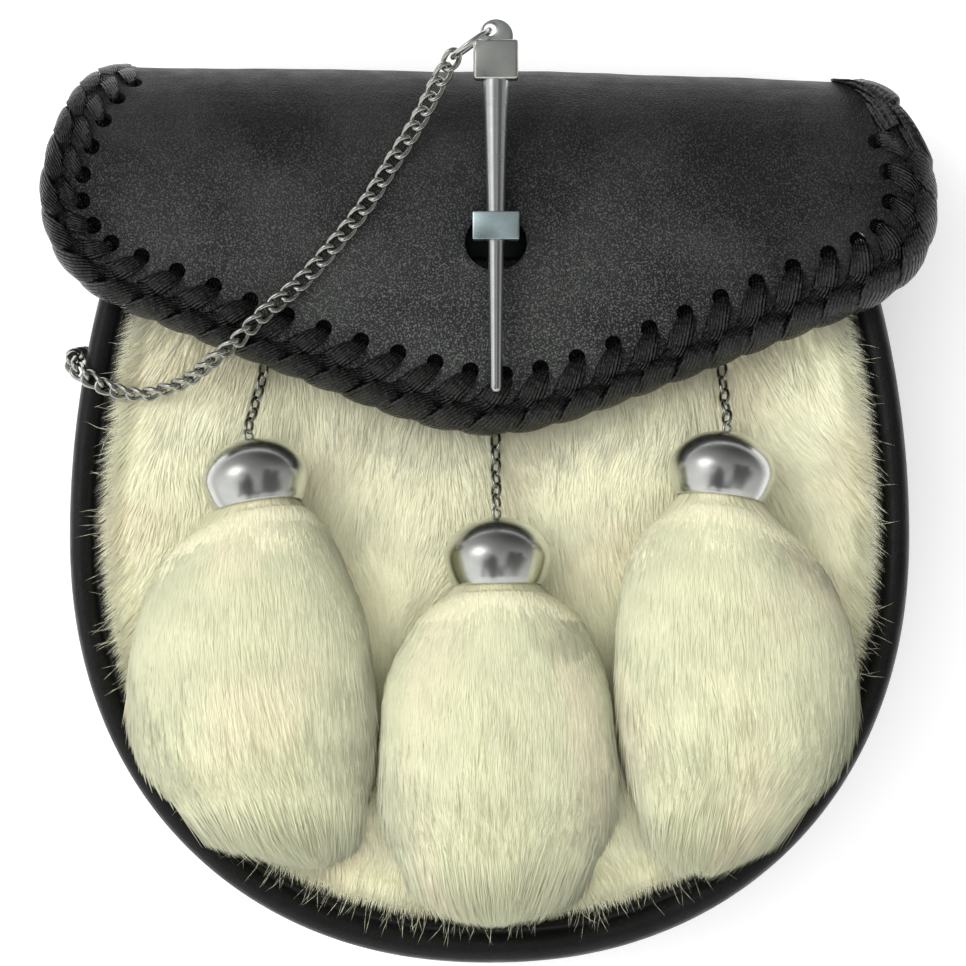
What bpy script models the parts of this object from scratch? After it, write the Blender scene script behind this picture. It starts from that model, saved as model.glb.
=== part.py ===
"""Sporran pouch: a fur fronted leather pouch with a laced flap, a pin clasp and three tassels.

The pouch lies on its back. +X is to its left as worn (the viewer's right), +Y is towards its top
and +Z comes out of its front. The origin is on the surface that it lies on, under its middle. All
the sizes below are millimetres, and each object is brought to metres as it is made.
"""

import math

import bmesh
import bpy
import numpy as np
from mathutils import Matrix, Vector

MM = 0.001
MIDDLE = Vector((0, 1.1, 0))     # brings the middle of the whole thing over the origin

GAP = 0.3                        # between pieces that touch on the real thing
LEATHER = 2.2                    # thickness of the body's leather

# The body's outline, seen from the front: a superellipse below its centre, tapering sides above.
BODY_CENTRE_Y = -10.4
BODY_HALF_WIDTH = 96.0
BODY_HALF_HEIGHT = 97.8
BODY_EXPONENT = 2.16
BODY_TAPER = 0.0023              # the half width lost for each square millimetre above the centre
BODY_STATIONS = 33

# Heights above the surface that it lies on.
LOOP_HEIGHT = 3.3                # the belt loops, flattened under the pouch
BACK_Z = LOOP_HEIGHT + GAP
BACK_THICKNESS = 2.6
GUSSET_Z = BACK_Z + BACK_THICKNESS + GAP
GUSSET_TOP_Z = 36.5
PANEL_Z = GUSSET_TOP_Z + GAP
RIM_Z = PANEL_Z + LEATHER + GAP
FUR_FLAP_Z = 44.5                # the fur's top where the flap presses it
FUR_OPEN_Z = 47.0                # the fur's top where it is free
FUR_EDGE_Z = 43.0

WALL_INSET = 1.0                 # from the outline to the side wall's outer face
GUSSET_END_Y = 70.0              # where the side wall ends, at the back
GUSSET_SLOPE_Y = 47.0            # where its front edge starts to turn down to there
GUSSET_END_Z = 12.0
MOUTH_Y = 68.0                   # the front's free top edge
RIM_END_Y = 60.0
FUR_END_Y = 50.5
FUR_PRESSED_Y = 10.0             # the flap and the tassels' chains press the fur above this
FUR_ROUNDING = 6.0               # how far from its edge the fur comes to its height
FUR_CUTS_X = (-74, -45, -15, 15, 45, 74)
FUR_CUTS_Y = (12, 2, -20, -45, -70)
RIM_WIDTH_SIDE = 8.9
RIM_WIDTH_BOTTOM = 10.7

# The rim's section: the share of its width in from the outline, and the height above its foot.
RIM_SECTION = (
    # share of the width, height
    (0.02, 0.0),
    (0.00, 3.0),
    (0.18, 5.6),
    (0.44, 6.3),
    (0.67, 4.9),
    (0.84, 5.6),
    (1.00, 0.0),
)

# The flap: a sheet that leaves the back panel's top edge, turns over a round fold, and runs down
# the front. "along" is measured on the leather from the fold's top.
FLAP_THICKNESS = 2.6
FOLD_RADIUS = 24.6               # to the middle of the leather
FOLD_Y = 70.8
FOLD_Z = BACK_Z + FLAP_THICKNESS / 2 + FOLD_RADIUS
FLAP_SLOPE = math.radians(2.5)   # the front run falls towards the flap's tip
FLAP_DROOP = 0.012               # the fold's fall for each millimetre to the right
FLAP_CURL_LEFT = 2.5             # how far the flap's ends curl back
FLAP_CURL_RIGHT = 5.5
FLAP_CURL_START = 70.0
FLAP_REACH = 102.0
CURL_RAMP = 1.5 * FOLD_RADIUS    # the run of leather over which the curl grows
DROOP_RAMP = 1.2 * FOLD_RADIUS   # and over which the droop fades down the back of the fold

# Half the width over the lacing, against the distance along the leather.
FLAP_EDGE = (
    # along, half width
    (-14.0, 82.0),
    (0.0, 86.6),
    (7.3, 89.6),
    (14.3, 93.2),
    (25.3, 97.6),
    (35.0, 100.7),
    (43.9, 101.9),
    (53.0, 100.0),
    (59.8, 96.2),
    (65.0, 90.4),
    (69.0, 82.8),
    (74.5, 69.0),
    (82.3, 49.2),
    (88.3, 33.6),
    (92.6, 22.0),
    (95.8, 11.0),
    (97.1, 0.0),
)
EDGE_INSET = 3.4                 # from the lacing's outside to the leather's own edge
SEAM_HALF_WIDTH = 79.6
FLAP_STATIONS = 48
FLAP_CUTS_X = (-88, -78, 0, 78, 88)
FLAP_CUT_BELOW = 58.0            # along the leather, beyond the fold
FOLD_STRIPS = 6                  # a quarter turn's strips

# The lacing's section: how far in from its outside, how far out of the leather's middle, and how
# much a strand's crown adds to each.
LACING_SECTION = (
    # inward, outward, inward swell, outward swell
    (13.2, 2.1, 0.0, 0.0),
    (11.0, 3.1, 0.0, 0.5),
    (4.6, 3.3, 0.0, 0.8),
    (0.9, 1.0, -0.8, 0.5),
    (3.6, -3.1, -0.6, -0.3),
    (12.2, -2.8, 0.0, -0.2),
    (12.6, -2.15, 0.0, 0.0),
    (2.6, -2.15, 0.0, 0.0),
    (2.6, 2.1, 0.0, 0.0),
)
LACING_CAP = ((8, 0, 1, 2), (8, 2, 3), (8, 3, 4, 7), (7, 4, 5, 6))   # round the leather's slot
LACING_STRANDS = 27

# The clasp.
PIN_AXIS_X = 1.4
PIN_AXIS_Z = 58.7
PIN_HEAD = Vector((10.1, 9.0, 6.4))
PIN_HEAD_TOP_Y = 101.1
PIN_PROFILE = (
    # radius, Y
    (3.0, 92.6),
    (3.0, 91.0),
    (2.1, 62.4),
    (1.8, 55.6),
    (1.35, 22.6),
    (1.05, 22.0),
)
EAR_RADIUS = 3.9
EAR_HOLE_RADIUS = 1.4
EAR_HOLE_OFFSET = -1.3
EAR_THICKNESS = 2.0
STAPLE_BLOCK = Vector((10.6, 6.4, 6.6))
STAPLE_Y = 59.3
STAPLE_BORE = 2.5
STAPLE_STEM = Vector((6.0, 4.4))
STAPLE_BASE = Vector((20.0, 13.0, 1.8))
SLOT_RADII = Vector((7.0, 6.2))
SLOT_Y = 57.0

# Chains. A link is an oval of wire, twisted a little so that the chain lies flat.
LINK_HALF_LENGTH = 2.2
LINK_HALF_WIDTH = 1.6
LINK_WIRE = 0.45
LINK_TWIST = 0.56
LINK_PITCH = 3.75
TUBE_RADIUS = 1.2                # the tassels' chains
TUBE_LIE = Vector((0, -5.5, 0.7))   # where a tassel's chain comes off the fur, from its start
TUBE_SAG = 1.2
TUBE_POINTS = 9
EYE_RADIUS = 1.35
EYE_SEAT = LINK_HALF_LENGTH - 2 * LINK_WIRE - GAP     # from an eye's wire to its link's centre
EYE_SUNK = 0.5                   # how far a bell's eye is sunk in its crown
STUD_RADIUS = 3.0
STUD_DEPTH = 0.9
STUD_SIDES = 8
STUD_BACK = 1.4                  # from an eye under the flap back to its stud's middle
EYE_RISE = 0.9                   # from a stud's face to its eye's middle
RING_RADIUS = 5.2
RING_WIRE = 0.6
RING_SEAT = LINK_HALF_LENGTH - LINK_WIRE - RING_WIRE - 1.5 * GAP
RING_BEARING = math.radians(216.0)
CHAIN_BEARING = math.radians(240.0)   # of the first link, which hangs in the ring

# The pin's chain: from the jump ring over the flap, its lacing, the fur and the rim, and down the
# left side. Each row has the side of the chain that faces out.
PIN_CHAIN_ROUTE = (
    # x, y, z, facing
    (-15.9, 83.3, 57.5, (0, 0, 1)),
    (-21.8, 73.9, 56.7, (0, 0, 1)),
    (-27.8, 64.4, 56.5, (0, 0, 1)),
    (-34.8, 55.5, 56.1, (0, 0, 1)),
    (-42.6, 46.8, 55.9, (0, 0, 1)),
    (-51.2, 39.2, 57.9, (0, 0, 1)),
    (-56.9, 33.5, 58.5, (0, 0, 1)),
    (-62.8, 28.8, 57.4, (0, 0, 1)),
    (-68.2, 24.9, 53.6, (0, 0, 1)),
    (-73.4, 22.8, 50.4, (0, 0, 1)),
    (-79.0, 21.6, 48.8, (0, 0, 1)),
    (-86.0, 22.8, 48.0, (-0.1, 0, 1)),
    (-92.2, 26.0, 46.9, (-0.4, 0, 1)),
    (-95.4, 28.6, 43.0, (-1, 0, 0.6)),
    (-95.9, 30.2, 37.5, (-1, 0, 0.1)),
    (-94.0, 31.0, 31.0, (-1, 0, 0)),
    (-93.6, 31.0, 27.5, (-1, 0, 0)),
)

# The tassels, left to right: the eye under the flap, the bell's crown, and the way that the bell
# faces, turned to the right and pitched up off the fur.
TASSELS = {
    "left": {
        "eye": Vector((-51.4, 33.6)),
        "crown": Vector((-54.2, 11.2)),
        "turn": math.radians(9.0),
        "pitch": math.radians(11.0),
    },
    "centre": {
        "eye": Vector((1.4, 17.4)),
        "crown": Vector((1.6, -6.2)),
        "turn": math.radians(1.0),
        "pitch": math.radians(6.0),
    },
    "right": {
        "eye": Vector((52.9, 33.4)),
        "crown": Vector((53.4, 13.0)),
        "turn": math.radians(-7.0),
        "pitch": math.radians(9.0),
    },
}
BELL_RADIUS = 12.0
BELL_CROWN = 9.2                 # from the crown to the widest place
BELL_SKIRT = 6.5                 # from there to the mouth
BELL_MOUTH_RADIUS = 10.0
BELL_WALL = 0.8
BELL_SIDES = 12

# Each tassel's fur from its neck down: where a section is, its sides, and its underside and top.
TASSEL_FUR = {
    "left": (
        # y, left, right, underside, top
        (-6.4, -63.4, -40.2, 50.4, 71.0),
        (-11.3, -71.0, -36.5, 48.2, 72.4),
        (-20.3, -76.6, -32.3, 47.3, 73.4),
        (-33.8, -80.0, -28.1, 47.3, 73.8),
        (-47.3, -80.5, -26.8, 47.3, 73.2),
        (-58.5, -78.1, -26.8, 47.3, 71.6),
        (-69.7, -71.0, -27.6, 47.4, 68.4),
        (-78.4, -59.0, -31.4, 47.8, 62.6),
    ),
    "centre": (
        (-23.8, -9.8, 13.6, 50.4, 70.4),
        (-29.4, -16.6, 20.6, 48.2, 71.8),
        (-42.0, -22.8, 25.8, 47.3, 73.2),
        (-54.0, -23.9, 27.3, 47.3, 73.8),
        (-65.2, -23.9, 28.2, 47.3, 73.0),
        (-76.5, -22.6, 26.4, 47.3, 71.0),
        (-86.8, -17.4, 20.6, 47.5, 66.6),
        (-92.8, -10.4, 13.0, 47.9, 61.0),
    ),
    "right": (
        (-5.6, 40.8, 63.6, 50.4, 71.0),
        (-11.3, 34.6, 71.4, 48.2, 72.4),
        (-20.3, 30.4, 77.4, 47.3, 73.4),
        (-33.8, 28.9, 81.6, 47.3, 73.8),
        (-46.0, 29.0, 82.0, 47.3, 73.2),
        (-58.0, 30.6, 79.8, 47.3, 71.6),
        (-69.5, 33.0, 72.0, 47.4, 68.4),
        (-79.4, 37.4, 61.0, 47.8, 62.6),
    ),
}
TASSEL_LOCKS = 8
TASSEL_SIDES = 16
NECK_LENGTH = 9.0                # how far the fur goes up into the bell
LOCK_HOLLOW = 0.05
LOCK_REACH = 2.0

# The belt loops on the back.
BELT_LOOP = Vector((18.0, 88.0))
BELT_LOOP_STRAP = 1.8
BELT_LOOP_END = 13.0
BELT_LOOP_X = 40.0
BELT_LOOP_Y = 18.0

COLOURS = {
    "black_leather": ((0.018, 0.018, 0.019), 0.46, 0.0),
    "laced_leather": ((0.014, 0.014, 0.015), 0.52, 0.0),
    "cream_fur": ((0.72, 0.68, 0.50), 0.92, 0.0),
    "chrome": ((0.62, 0.62, 0.63), 0.16, 1.0),
}


# ---------------------------------------------------------------- curves and outlines


def smooth_curve(points, steps=12):
    """Return a dense smooth curve through points of any dimension (Catmull-Rom)."""
    pts = np.asarray(points, dtype=float)
    ends = (2 * pts[0] - pts[1], 2 * pts[-1] - pts[-2])
    pts = np.vstack((ends[0], pts, ends[1]))
    curve = []
    for before, start, end, after in zip(pts[:-3], pts[1:-2], pts[2:-1], pts[3:]):
        for t in np.arange(steps) / steps:
            curve.append(0.5 * (2 * start + (end - before) * t
                                + (2 * before - 5 * start + 4 * end - after) * t ** 2
                                + (3 * start - before - 3 * end + after) * t ** 3))
    curve.append(pts[-2])
    return np.array(curve)


def arc_lengths(curve):
    """Return the length run at each point of a curve."""
    steps = np.linalg.norm(np.diff(curve, axis=0), axis=1)
    return np.concatenate(((0.0,), np.cumsum(steps)))


def at_lengths(curve, lengths):
    """Return the curve's points at the given lengths along it."""
    run = arc_lengths(curve)
    return np.stack([np.interp(lengths, run, column) for column in curve.T], axis=1)


def resampled(curve, count):
    """Return count points spaced evenly along a curve."""
    return at_lengths(curve, np.linspace(0.0, arc_lengths(curve)[-1], count))


def inset(curve, distance):
    """Move a flat curve to its left, which is inwards for one that runs anticlockwise."""
    tangent = np.gradient(curve, axis=0)
    tangent /= np.linalg.norm(tangent, axis=1)[:, None]
    normal = np.stack((-tangent[:, 1], tangent[:, 0]), axis=1)
    return curve + normal * np.asarray(distance, dtype=float).reshape(-1, 1)


def body_outline(inset_by, top_y, count=BODY_STATIONS):
    """Return the body's outline from its left top, round the bottom, to its right top."""
    height = np.linspace(top_y, BODY_CENTRE_Y, 60)[:-1]
    width = BODY_HALF_WIDTH - BODY_TAPER * (height - BODY_CENTRE_Y) ** 2
    left = np.stack((-width, height), axis=1)
    angle = np.linspace(math.pi, 2 * math.pi, 181)
    power = 2 / BODY_EXPONENT
    below = np.stack((BODY_HALF_WIDTH * np.sign(np.cos(angle)) * np.abs(np.cos(angle)) ** power,
                      BODY_CENTRE_Y - BODY_HALF_HEIGHT * np.abs(np.sin(angle)) ** power), axis=1)
    right = left[::-1] * (-1, 1)
    outline = resampled(np.vstack((left, below, right)), 240)
    return resampled(inset(outline, inset_by), count)


def rim_width(y):
    """Return how wide the rim is at a height: wider round the bottom."""
    share = np.clip((BODY_CENTRE_Y - y) / BODY_HALF_HEIGHT, 0.0, 1.0) ** 2
    return RIM_WIDTH_SIDE + (RIM_WIDTH_BOTTOM - RIM_WIDTH_SIDE) * share


def flap_edge(inset_by=0.0, count=140):
    """Return the flap's flat outline (x, along) from its left top, round the tip, to its right."""
    half = [(-width, along) for along, width in FLAP_EDGE]
    other = [(width, along) for along, width in FLAP_EDGE[-2::-1]]
    curve = resampled(smooth_curve(half + other), count)
    return inset(curve, -inset_by)


def flap_point(x, along, out):
    """Return where a place on the flap is: across, along the leather, and out of its middle."""
    turned = 0.5 * math.pi + FLAP_SLOPE
    radius = FOLD_RADIUS + out
    angle = min(along / FOLD_RADIUS, turned)
    beyond = max(along - turned * FOLD_RADIUS, 0.0)
    y = FOLD_Y + radius * math.cos(angle) - beyond * math.cos(FLAP_SLOPE)
    z = FOLD_Z + radius * math.sin(angle) - beyond * math.sin(FLAP_SLOPE)
    front = min(max(along / CURL_RAMP, 0.0), 1.0)
    end = max(abs(x) - FLAP_CURL_START, 0.0) / (FLAP_REACH - FLAP_CURL_START)
    curl = FLAP_CURL_RIGHT if x > 0 else FLAP_CURL_LEFT
    length = FLAP_EDGE[-1][0]
    droop = 1 - along / length if along > 0 else max(1 + along / DROOP_RAMP, 0.0)
    return Vector((x, y - FLAP_DROOP * x * droop, z - curl * end ** 2 * front))


# ---------------------------------------------------------------- making objects


def clear_scene():
    """Remove every object that the scene starts with."""
    for item in list(bpy.data.objects):
        bpy.data.objects.remove(item)


def new_collection(name):
    """Add a collection to the scene."""
    collection = bpy.data.collections.new(name)
    bpy.context.scene.collection.children.link(collection)
    return collection


def make_material(name):
    """Make a plain material from its row in COLOURS."""
    colour, roughness, metallic = COLOURS[name]
    material = bpy.data.materials.new(name)
    material.use_nodes = True
    shader = material.node_tree.nodes["Principled BSDF"]
    shader.inputs["Base Color"].default_value = (*colour, 1.0)
    shader.inputs["Roughness"].default_value = roughness
    shader.inputs["Metallic"].default_value = metallic
    return material


class Workshop:
    """Holds the collections and the materials, and turns meshes into named objects."""

    def __init__(self):
        self.parts = new_collection("sporran_pouch")
        self.cutters = new_collection("cutters")
        self.materials = {name: make_material(name) for name in COLOURS}

    def add(self, name, shape, material, smooth_angle=None, location=(0, 0, 0)):
        """Make a piece from a bmesh in millimetres."""
        piece = self._object(name, shape, self.parts)
        piece.location = (MIDDLE + Vector(location)) * MM
        piece.data.materials.append(self.materials[material])
        if smooth_angle is not None:
            piece.data.shade_smooth()
            piece.data.set_sharp_from_angle(angle=math.radians(smooth_angle))
        return piece

    def combine(self, piece, shape, operation="UNION"):
        """Join a bmesh to a piece, or cut it away, with a Boolean modifier."""
        other = self._object(piece.name + "_" + operation.lower(), shape, self.cutters)
        other.hide_render = True
        other.display_type = "WIRE"
        other.location = piece.location
        other.rotation_euler = piece.rotation_euler
        modifier = piece.modifiers.new(operation.title(), "BOOLEAN")
        modifier.operation = operation
        modifier.object = other

    def _object(self, name, shape, collection):
        bmesh.ops.scale(shape, vec=(MM, MM, MM), verts=shape.verts)
        bmesh.ops.recalc_face_normals(shape, faces=shape.faces)
        mesh = bpy.data.meshes.new(name)
        shape.to_mesh(mesh)
        shape.free()
        item = bpy.data.objects.new(name, mesh)
        collection.objects.link(item)
        return item


def plate(outline, low, high):
    """Return a flat plate with a given outline between two heights."""
    shape = bmesh.new()
    verts = [shape.verts.new((x, y, low)) for x, y in outline]
    face = shape.faces.new(verts)
    raised = bmesh.ops.extrude_face_region(shape, geom=[face])["geom"]
    lifted = [item for item in raised if isinstance(item, bmesh.types.BMVert)]
    bmesh.ops.translate(shape, vec=(0, 0, high - low), verts=lifted)
    return shape


def block(size, centre):
    """Return a box of a given size."""
    shape = bmesh.new()
    matrix = Matrix.Translation(centre) @ Matrix.Diagonal((*size, 1.0))
    bmesh.ops.create_cube(shape, size=1.0, matrix=matrix)
    return shape


def rod(radius, depth, matrix, sides=16):
    """Return a solid cylinder along the matrix's own Z."""
    shape = bmesh.new()
    bmesh.ops.create_cone(shape, cap_ends=True, segments=sides, radius1=radius, radius2=radius,
                          depth=depth, matrix=matrix)
    return shape


def turned(profile, sides):
    """Return a solid turned about Z from a profile of (radius, height) that starts and ends on it."""
    shape = bmesh.new()
    verts = [shape.verts.new((radius, 0, height)) for radius, height in profile]
    edges = [shape.edges.new(pair) for pair in zip(verts, verts[1:])]
    bmesh.ops.spin(shape, geom=verts + edges, cent=(0, 0, 0), axis=(0, 0, 1), angle=2 * math.pi,
                   steps=sides, use_merge=True)
    bmesh.ops.remove_doubles(shape, verts=shape.verts, dist=0.001)
    return shape


def loft(sections, cap=None):
    """Return a solid through closed sections of equal counts.

    Each end is one face, or the faces that cap lists as places along the section.
    """
    shape = bmesh.new()
    rings = [[shape.verts.new(point) for point in section] for section in sections]
    count = len(rings[0])
    for ring, following in zip(rings, rings[1:]):
        for i in range(count):
            j = (i + 1) % count
            shape.faces.new((ring[i], ring[j], following[j], following[i]))
    for ring in (rings[0], rings[-1]):
        for corners in cap or [range(count)]:
            shape.faces.new([ring[i] for i in corners])
    return shape


def torus(major, minor, major_sides, minor_sides):
    """Return a ring lying in the XY plane."""
    bpy.ops.mesh.primitive_torus_add(major_radius=major, minor_radius=minor,
                                     major_segments=major_sides, minor_segments=minor_sides)
    item = bpy.context.object
    shape = bmesh.new()
    shape.from_mesh(item.data)
    mesh = item.data
    bpy.data.objects.remove(item)
    bpy.data.meshes.remove(mesh)
    return shape


def curb_link():
    """Return one link: a ring of wire drawn out to an oval and twisted."""
    shape = torus(LINK_HALF_LENGTH, LINK_WIRE, 10, 5)
    for vert in shape.verts:
        turn = math.atan2(vert.co.y, vert.co.x)
        circle = Vector((math.cos(turn), math.sin(turn), 0)) * LINK_HALF_LENGTH
        oval = Vector((circle.x, LINK_HALF_WIDTH * math.sin(turn), LINK_TWIST * math.sin(2 * turn)))
        vert.co += oval - circle
    return shape


def frame_at(place, forward, facing):
    """Return a matrix at a place, with X along forward and Z as near to facing as it can be."""
    x_axis = forward.normalized()
    y_axis = facing.cross(x_axis).normalized()
    z_axis = x_axis.cross(y_axis)
    matrix = Matrix((x_axis, y_axis, z_axis)).transposed().to_4x4()
    matrix.translation = place
    return matrix


def link_frames(route, count):
    """Return the place of each link of a chain: rows are x, y, z and the facing's x, y, z."""
    curve = smooth_curve(route, 24)
    run = arc_lengths(curve[:, :3])
    frames = []
    for i in range(count):
        where = [np.interp(i * LINK_PITCH + step, run, column)
                 for step in (-0.5, 0.5) for column in curve.T]
        behind, ahead = Vector(where[:3]), Vector(where[6:9])
        if i == 0:
            behind = Vector(curve[0, :3]) * 2 - ahead
        frames.append(frame_at((behind + ahead) / 2, ahead - behind, Vector(where[3:6])))
    return frames


def links(frames):
    """Return copies of the link at the given places."""
    link = bpy.data.meshes.new("link")
    pattern = curb_link()
    pattern.to_mesh(link)
    pattern.free()
    shape = bmesh.new()
    for matrix in frames:
        first = len(shape.verts)
        shape.from_mesh(link)
        shape.verts.ensure_lookup_table()
        bmesh.ops.transform(shape, matrix=matrix, verts=shape.verts[first:])
    bpy.data.meshes.remove(link)
    return shape


def add_chain(shop, name, frames):
    """Make a chain in which each link is fused to the next one."""
    chain = shop.add(name, links(frames[0::2]), "chrome", 50)
    shop.combine(chain, links(frames[1::2]))


def add_tube(shop, name, route):
    """Make the outer form of a fine chain: a wire as thick as the chain, closed at its ends."""
    curve = bpy.data.curves.new(name, "CURVE")
    curve.dimensions = "3D"
    curve.bevel_depth = TUBE_RADIUS * MM
    curve.bevel_resolution = 1
    curve.use_fill_caps = True
    spline = curve.splines.new("POLY")
    spline.points.add(len(route) - 1)
    for point, place in zip(spline.points, route):
        point.co = (*(Vector(place) * MM), 1.0)
    tube = bpy.data.objects.new(name, curve)
    tube.location = MIDDLE * MM
    tube.data.materials.append(shop.materials["chrome"])
    shop.parts.objects.link(tube)


def eye(centre, facing, along):
    """Return a small wire eye along a chain, turned so that its ring stands across a link's end."""
    shape = torus(EYE_RADIUS, LINK_WIRE, 10, 5)
    lean = math.atan2(2 * LINK_TWIST, LINK_HALF_WIDTH)
    across = Matrix.Rotation(lean, 3, along) @ facing.cross(along)
    matrix = frame_at(centre, along, across)
    bmesh.ops.transform(shape, matrix=matrix, verts=shape.verts)
    return shape


# ---------------------------------------------------------------- the pouch


def add_body(shop):
    """Make the back, the side wall, the front and its rim."""
    outline = body_outline(WALL_INSET, FOLD_Y - GAP)
    shop.add("back_panel", plate(outline, BACK_Z, BACK_Z + BACK_THICKNESS), "black_leather")

    wall = bmesh.new()
    foot = [wall.verts.new((x, y, GUSSET_Z)) for x, y in body_outline(WALL_INSET, GUSSET_END_Y)]
    edges = [wall.edges.new(pair) for pair in zip(foot, foot[1:])]
    raised = bmesh.ops.extrude_edge_only(wall, edges=edges)["geom"]
    for vert in [item for item in raised if isinstance(item, bmesh.types.BMVert)]:
        share = max(vert.co.y - GUSSET_SLOPE_Y, 0.0) / (GUSSET_END_Y - GUSSET_SLOPE_Y)
        drop = 1 - math.sqrt(max(1 - share ** 2, 0.0))
        vert.co.z = GUSSET_TOP_Z - (GUSSET_TOP_Z - GUSSET_END_Z) * drop
    gusset = shop.add("gusset", wall, "black_leather", 40)
    thickness = gusset.modifiers.new("Leather", "SOLIDIFY")
    thickness.thickness = LEATHER * MM
    thickness.offset = -1.0 if outward_normals(gusset) else 1.0

    outline = body_outline(WALL_INSET, MOUTH_Y)
    shop.add("front_panel", plate(outline, PANEL_Z, PANEL_Z + LEATHER), "black_leather")

    edge = body_outline(0.0, RIM_END_Y)
    sections = []
    columns = [inset(edge, share * rim_width(edge[:, 1])) for share, _ in RIM_SECTION]
    for i in range(len(edge)):
        sections.append([(*column[i], RIM_Z + height)
                         for column, (_, height) in zip(columns, RIM_SECTION)])
    shop.add("front_rim", loft(sections), "black_leather", 50)


def outward_normals(wall):
    """Say whether a standing wall's faces point away from the body's middle."""
    face = wall.data.polygons[0]
    return face.normal.dot(face.center - Vector((0, BODY_CENTRE_Y * MM, face.center.z))) > 0


def add_fur_front(shop):
    """Make the pad of fur: low under the flap and at its edge, full between."""
    outer = body_outline(0.0, FUR_END_Y)
    outline = inset(outer, rim_width(outer[:, 1]) + 2 * GAP)
    shape = plate(outline, RIM_Z, FUR_OPEN_Z)
    rows = [(Vector((0, y, 0)), Vector((0, 1, 0))) for y in FUR_CUTS_Y]
    columns = [(Vector((x, 0, 0)), Vector((1, 0, 0))) for x in FUR_CUTS_X]
    for place, normal in rows + columns:
        geometry = shape.verts[:] + shape.edges[:] + shape.faces[:]
        bmesh.ops.bisect_plane(shape, geom=geometry, dist=0.01, plane_co=place, plane_no=normal)
    rim = np.array(outline)
    for vert in shape.verts:
        if vert.co.z < FUR_OPEN_Z - 1:
            continue
        edge = float(np.min(np.linalg.norm(rim - np.array(vert.co.xy), axis=1)))
        top = FUR_OPEN_Z if vert.co.y < FUR_PRESSED_Y else FUR_FLAP_Z
        vert.co.z = top if edge > FUR_ROUNDING else FUR_EDGE_Z
    shop.add("fur_front", shape, "cream_fur", 60)


def add_flap(shop):
    """Make the flap: its flat outline, cut into strips, folded, and given its thickness."""
    seam = -0.5 * math.pi * FOLD_RADIUS + GAP
    edge = flap_edge(EDGE_INSET, FLAP_STATIONS)
    outline = [(-SEAM_HALF_WIDTH, seam), *map(tuple, edge), (SEAM_HALF_WIDTH, seam)]
    shape = bmesh.new()
    shape.faces.new([shape.verts.new((x, along, 0)) for x, along in outline])
    strip = (0.5 * math.pi + FLAP_SLOPE) * FOLD_RADIUS / FOLD_STRIPS
    strips = [strip * i for i in range(1 - FOLD_STRIPS, FOLD_STRIPS + 1)]
    cuts = [(Vector((0, along, 0)), Vector((0, 1, 0))) for along in strips + [FLAP_CUT_BELOW]]
    cuts += [(Vector((x, 0, 0)), Vector((1, 0, 0))) for x in FLAP_CUTS_X]
    for place, normal in cuts:
        geometry = shape.verts[:] + shape.edges[:] + shape.faces[:]
        bmesh.ops.bisect_plane(shape, geom=geometry, dist=0.01, plane_co=place, plane_no=normal)
    bmesh.ops.triangulate(shape, faces=shape.faces)
    for vert in shape.verts:
        vert.co = flap_point(vert.co.x, vert.co.y, 0.0)
    flap = shop.add("flap", shape, "black_leather", 40)
    thickness = flap.modifiers.new("Leather", "SOLIDIFY")
    thickness.thickness = FLAP_THICKNESS * MM
    thickness.offset = 0.0
    thickness.use_even_offset = True
    place = Matrix.Translation((PIN_AXIS_X, SLOT_Y, FOLD_Z + FOLD_RADIUS))
    slot = rod(1.0, 14.0, place @ Matrix.Diagonal((*SLOT_RADII, 1.0, 1.0)), 20)
    shop.combine(flap, slot, "DIFFERENCE")


def add_lacing(shop):
    """Make the braid round the flap's edge, with a crown and a hollow for each strand."""
    count = 2 * LACING_STRANDS + 1
    columns = []
    for inward, outward, inward_swell, outward_swell in LACING_SECTION:
        crown = np.arange(count) % 2
        points = resampled(flap_edge(), count)
        points = inset(points, -(inward + inward_swell * crown))
        columns.append((points, outward + outward_swell * crown))
    sections = [[flap_point(*points[i], outward[i]) for points, outward in columns]
                for i in range(count)]
    shop.add("flap_lacing", loft(sections, LACING_CAP), "laced_leather", 70)


def add_belt_loops(shop):
    """Make the two straps on the back, each fastened at its ends."""
    for side, x in (("left", -BELT_LOOP_X), ("right", BELT_LOOP_X)):
        half = BELT_LOOP.y / 2
        inner = half - BELT_LOOP_END
        profile = ((-half, 0), (half, 0), (half, LOOP_HEIGHT), (inner + 2, LOOP_HEIGHT),
                   (inner - 3, BELT_LOOP_STRAP), (-inner + 3, BELT_LOOP_STRAP),
                   (-inner - 2, LOOP_HEIGHT), (-half, LOOP_HEIGHT))
        sections = [[(across, y, z) for y, z in profile]
                    for across in (-BELT_LOOP.x / 2, BELT_LOOP.x / 2)]
        shop.add("belt_loop_" + side, loft(sections), "black_leather",
                 location=(x, BELT_LOOP_Y, 0))


# ---------------------------------------------------------------- the clasp


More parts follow.
